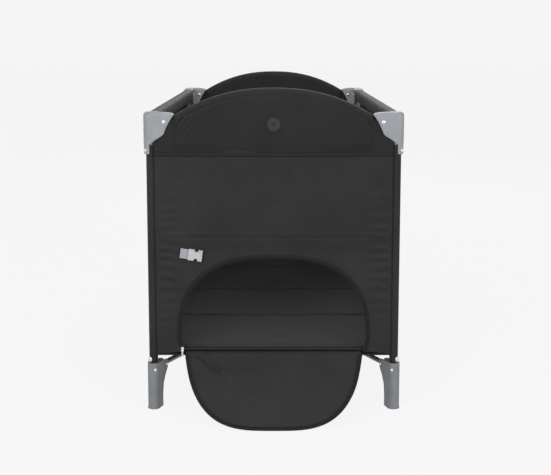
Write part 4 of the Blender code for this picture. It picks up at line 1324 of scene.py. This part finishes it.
class PLAYPEN_OT_stage(bpy.types.Operator):
    """Pale floor, backdrop, soft lamps and the camera."""

    bl_idname = "playpen.stage"
    bl_label = "Stage"

    def execute(self, context):
        scene = context.scene
        scene.view_settings.view_transform = "Standard"
        shape = bmesh.new()
        bmesh.ops.create_grid(shape, x_segments=1, y_segments=1, size=30.0)
        mesh = bpy.data.meshes.new("studio_floor")
        shape.to_mesh(mesh)
        shape.free()
        ground = bpy.data.objects.new("studio_floor", mesh)
        scene.collection.objects.link(ground)
        mesh.materials.append(studio_paint())

        world = bpy.data.worlds.new("studio")
        scene.world = world
        world.use_nodes = True
        tree = world.node_tree
        tree.nodes.clear()
        pale = (*colours().floor, 1)
        bright = put(tree, "ShaderNodeBackground", [("Color", pale), ("Strength", 1.0)])
        fill = put(tree, "ShaderNodeBackground", [("Color", (1, 1, 1, 1)), ("Strength", 0.34)])
        blend = put(tree, "ShaderNodeMixShader", (), [("Fac", seen_ray(tree), 0), (1, fill, 0), (2, bright, 0)])
        put(tree, "ShaderNodeOutputWorld", (), [("Surface", blend, 0)])

        for name, at, aim, size, power in (
                ("key_lamp", (-2.0, -3.8, 2.3), (0, 0, 0.4), 2.4, 92),
                ("fill_lamp", (2.6, -3.2, 1.8), (0, 0, 0.4), 2.6, 55),
                ("top_lamp", (0.0, -0.9, 4.0), (0, -0.4, 0.5), 2.0, 24),
                ("back_lamp", (0.6, 3.6, 2.6), (0, 0, 0.6), 2.4, 34)):
            data = bpy.data.lights.new(name, "AREA")
            data.shape = "SQUARE"
            data.size = size
            data.energy = power
            lamp = bpy.data.objects.new(name, data)
            scene.collection.objects.link(lamp)
            lamp.location = at
            lamp.rotation_euler = (Vector(aim) - Vector(at)).to_track_quat("-Z", "Y").to_euler()

        data = bpy.data.cameras.new("camera")
        data.sensor_width = 36.0
        data.lens = 66.29
        data.shift_x = 0.0033
        data.shift_y = -0.12
        data.clip_end = 100.0
        camera = bpy.data.objects.new("camera", data)
        camera.location = (0, -3.1312, 0.9498)
        camera.rotation_euler = (math.radians(90 - 7.55), 0, 0)
        scene.collection.objects.link(camera)
        scene.camera = camera
        return {"FINISHED"}


def seen_ray(tree):
    """1 for what the camera sees directly, in a reflection or through a clear piece."""
    path = put(tree, "ShaderNodeLightPath")
    seen = put(tree, "ShaderNodeMath", [("operation", "MAXIMUM")], [(0, path, "Is Camera Ray"),
                                                                   (1, path, "Is Glossy Ray")])
    return put(tree, "ShaderNodeMath", [("operation", "MAXIMUM")], [(0, seen, 0), (1, path, "Is Transmission Ray")])


def studio_paint():
    """Matt pale paint, seen at its own colour by the camera and in reflections, and shaded where it is in shadow."""
    made = bpy.data.materials.new("matt_studio_paint")
    made.use_nodes = True
    tree = made.node_tree
    tree.nodes.clear()
    pale = (*colours().floor, 1)
    matt = put(tree, "ShaderNodeBsdfDiffuse", [("Color", pale)])
    glow = put(tree, "ShaderNodeEmission", [("Color", pale), ("Strength", 1.03)])
    share = put(tree, "ShaderNodeMath", [("operation", "MULTIPLY"), (1, 0.94)], [(0, seen_ray(tree), 0)])
    blend = put(tree, "ShaderNodeMixShader", (), [("Fac", share, 0), (1, matt, 0), (2, glow, 0)])
    put(tree, "ShaderNodeOutputMaterial", (), [("Surface", blend, 0)])
    return made


STEPS = (
    PLAYPEN_OT_stage,
    PLAYPEN_OT_end_walls,
    PLAYPEN_OT_arches,
    PLAYPEN_OT_side_walls,
    PLAYPEN_OT_rail_sleeves,
    PLAYPEN_OT_floor,
    PLAYPEN_OT_mattress,
    PLAYPEN_OT_door_flap,
    PLAYPEN_OT_door_edge,
    PLAYPEN_OT_badge,
    PLAYPEN_OT_piping,
    PLAYPEN_OT_corners,
    PLAYPEN_OT_frame_finish,
    PLAYPEN_OT_door_fittings,
)


class PLAYPEN_PT_pieces(bpy.types.Panel):
    """Lists the sizes, the colours and the pieces."""

    bl_idname = "PLAYPEN_PT_pieces"
    bl_label = "Travel playpen"
    bl_space_type = "VIEW_3D"
    bl_region_type = "UI"
    bl_category = "Playpen"

    def draw(self, context):
        layout = self.layout
        for group in (context.scene.playpen_sizes, context.scene.playpen_colours):
            column = layout.column()
            for name in group.__annotations__:
                column.prop(group, name)
        for step in STEPS:
            layout.operator(step.bl_idname)


CLASSES = (PlaypenSizes, PlaypenColours, *STEPS, PLAYPEN_PT_pieces)


def register():
    """Make the properties, operators and panel known."""
    for item in CLASSES:
        bpy.utils.register_class(item)
    bpy.types.Scene.playpen_sizes = PointerProperty(type=PlaypenSizes)
    bpy.types.Scene.playpen_colours = PointerProperty(type=PlaypenColours)


def unregister():
    """Take them away again."""
    del bpy.types.Scene.playpen_colours
    del bpy.types.Scene.playpen_sizes
    for item in reversed(CLASSES):
        bpy.utils.unregister_class(item)


def main():
    """Make every piece in order."""
    register()
    for step in STEPS:
        group, name = step.bl_idname.split(".")
        getattr(getattr(bpy.ops, group), name)()


if __name__ == "__main__":
    main()
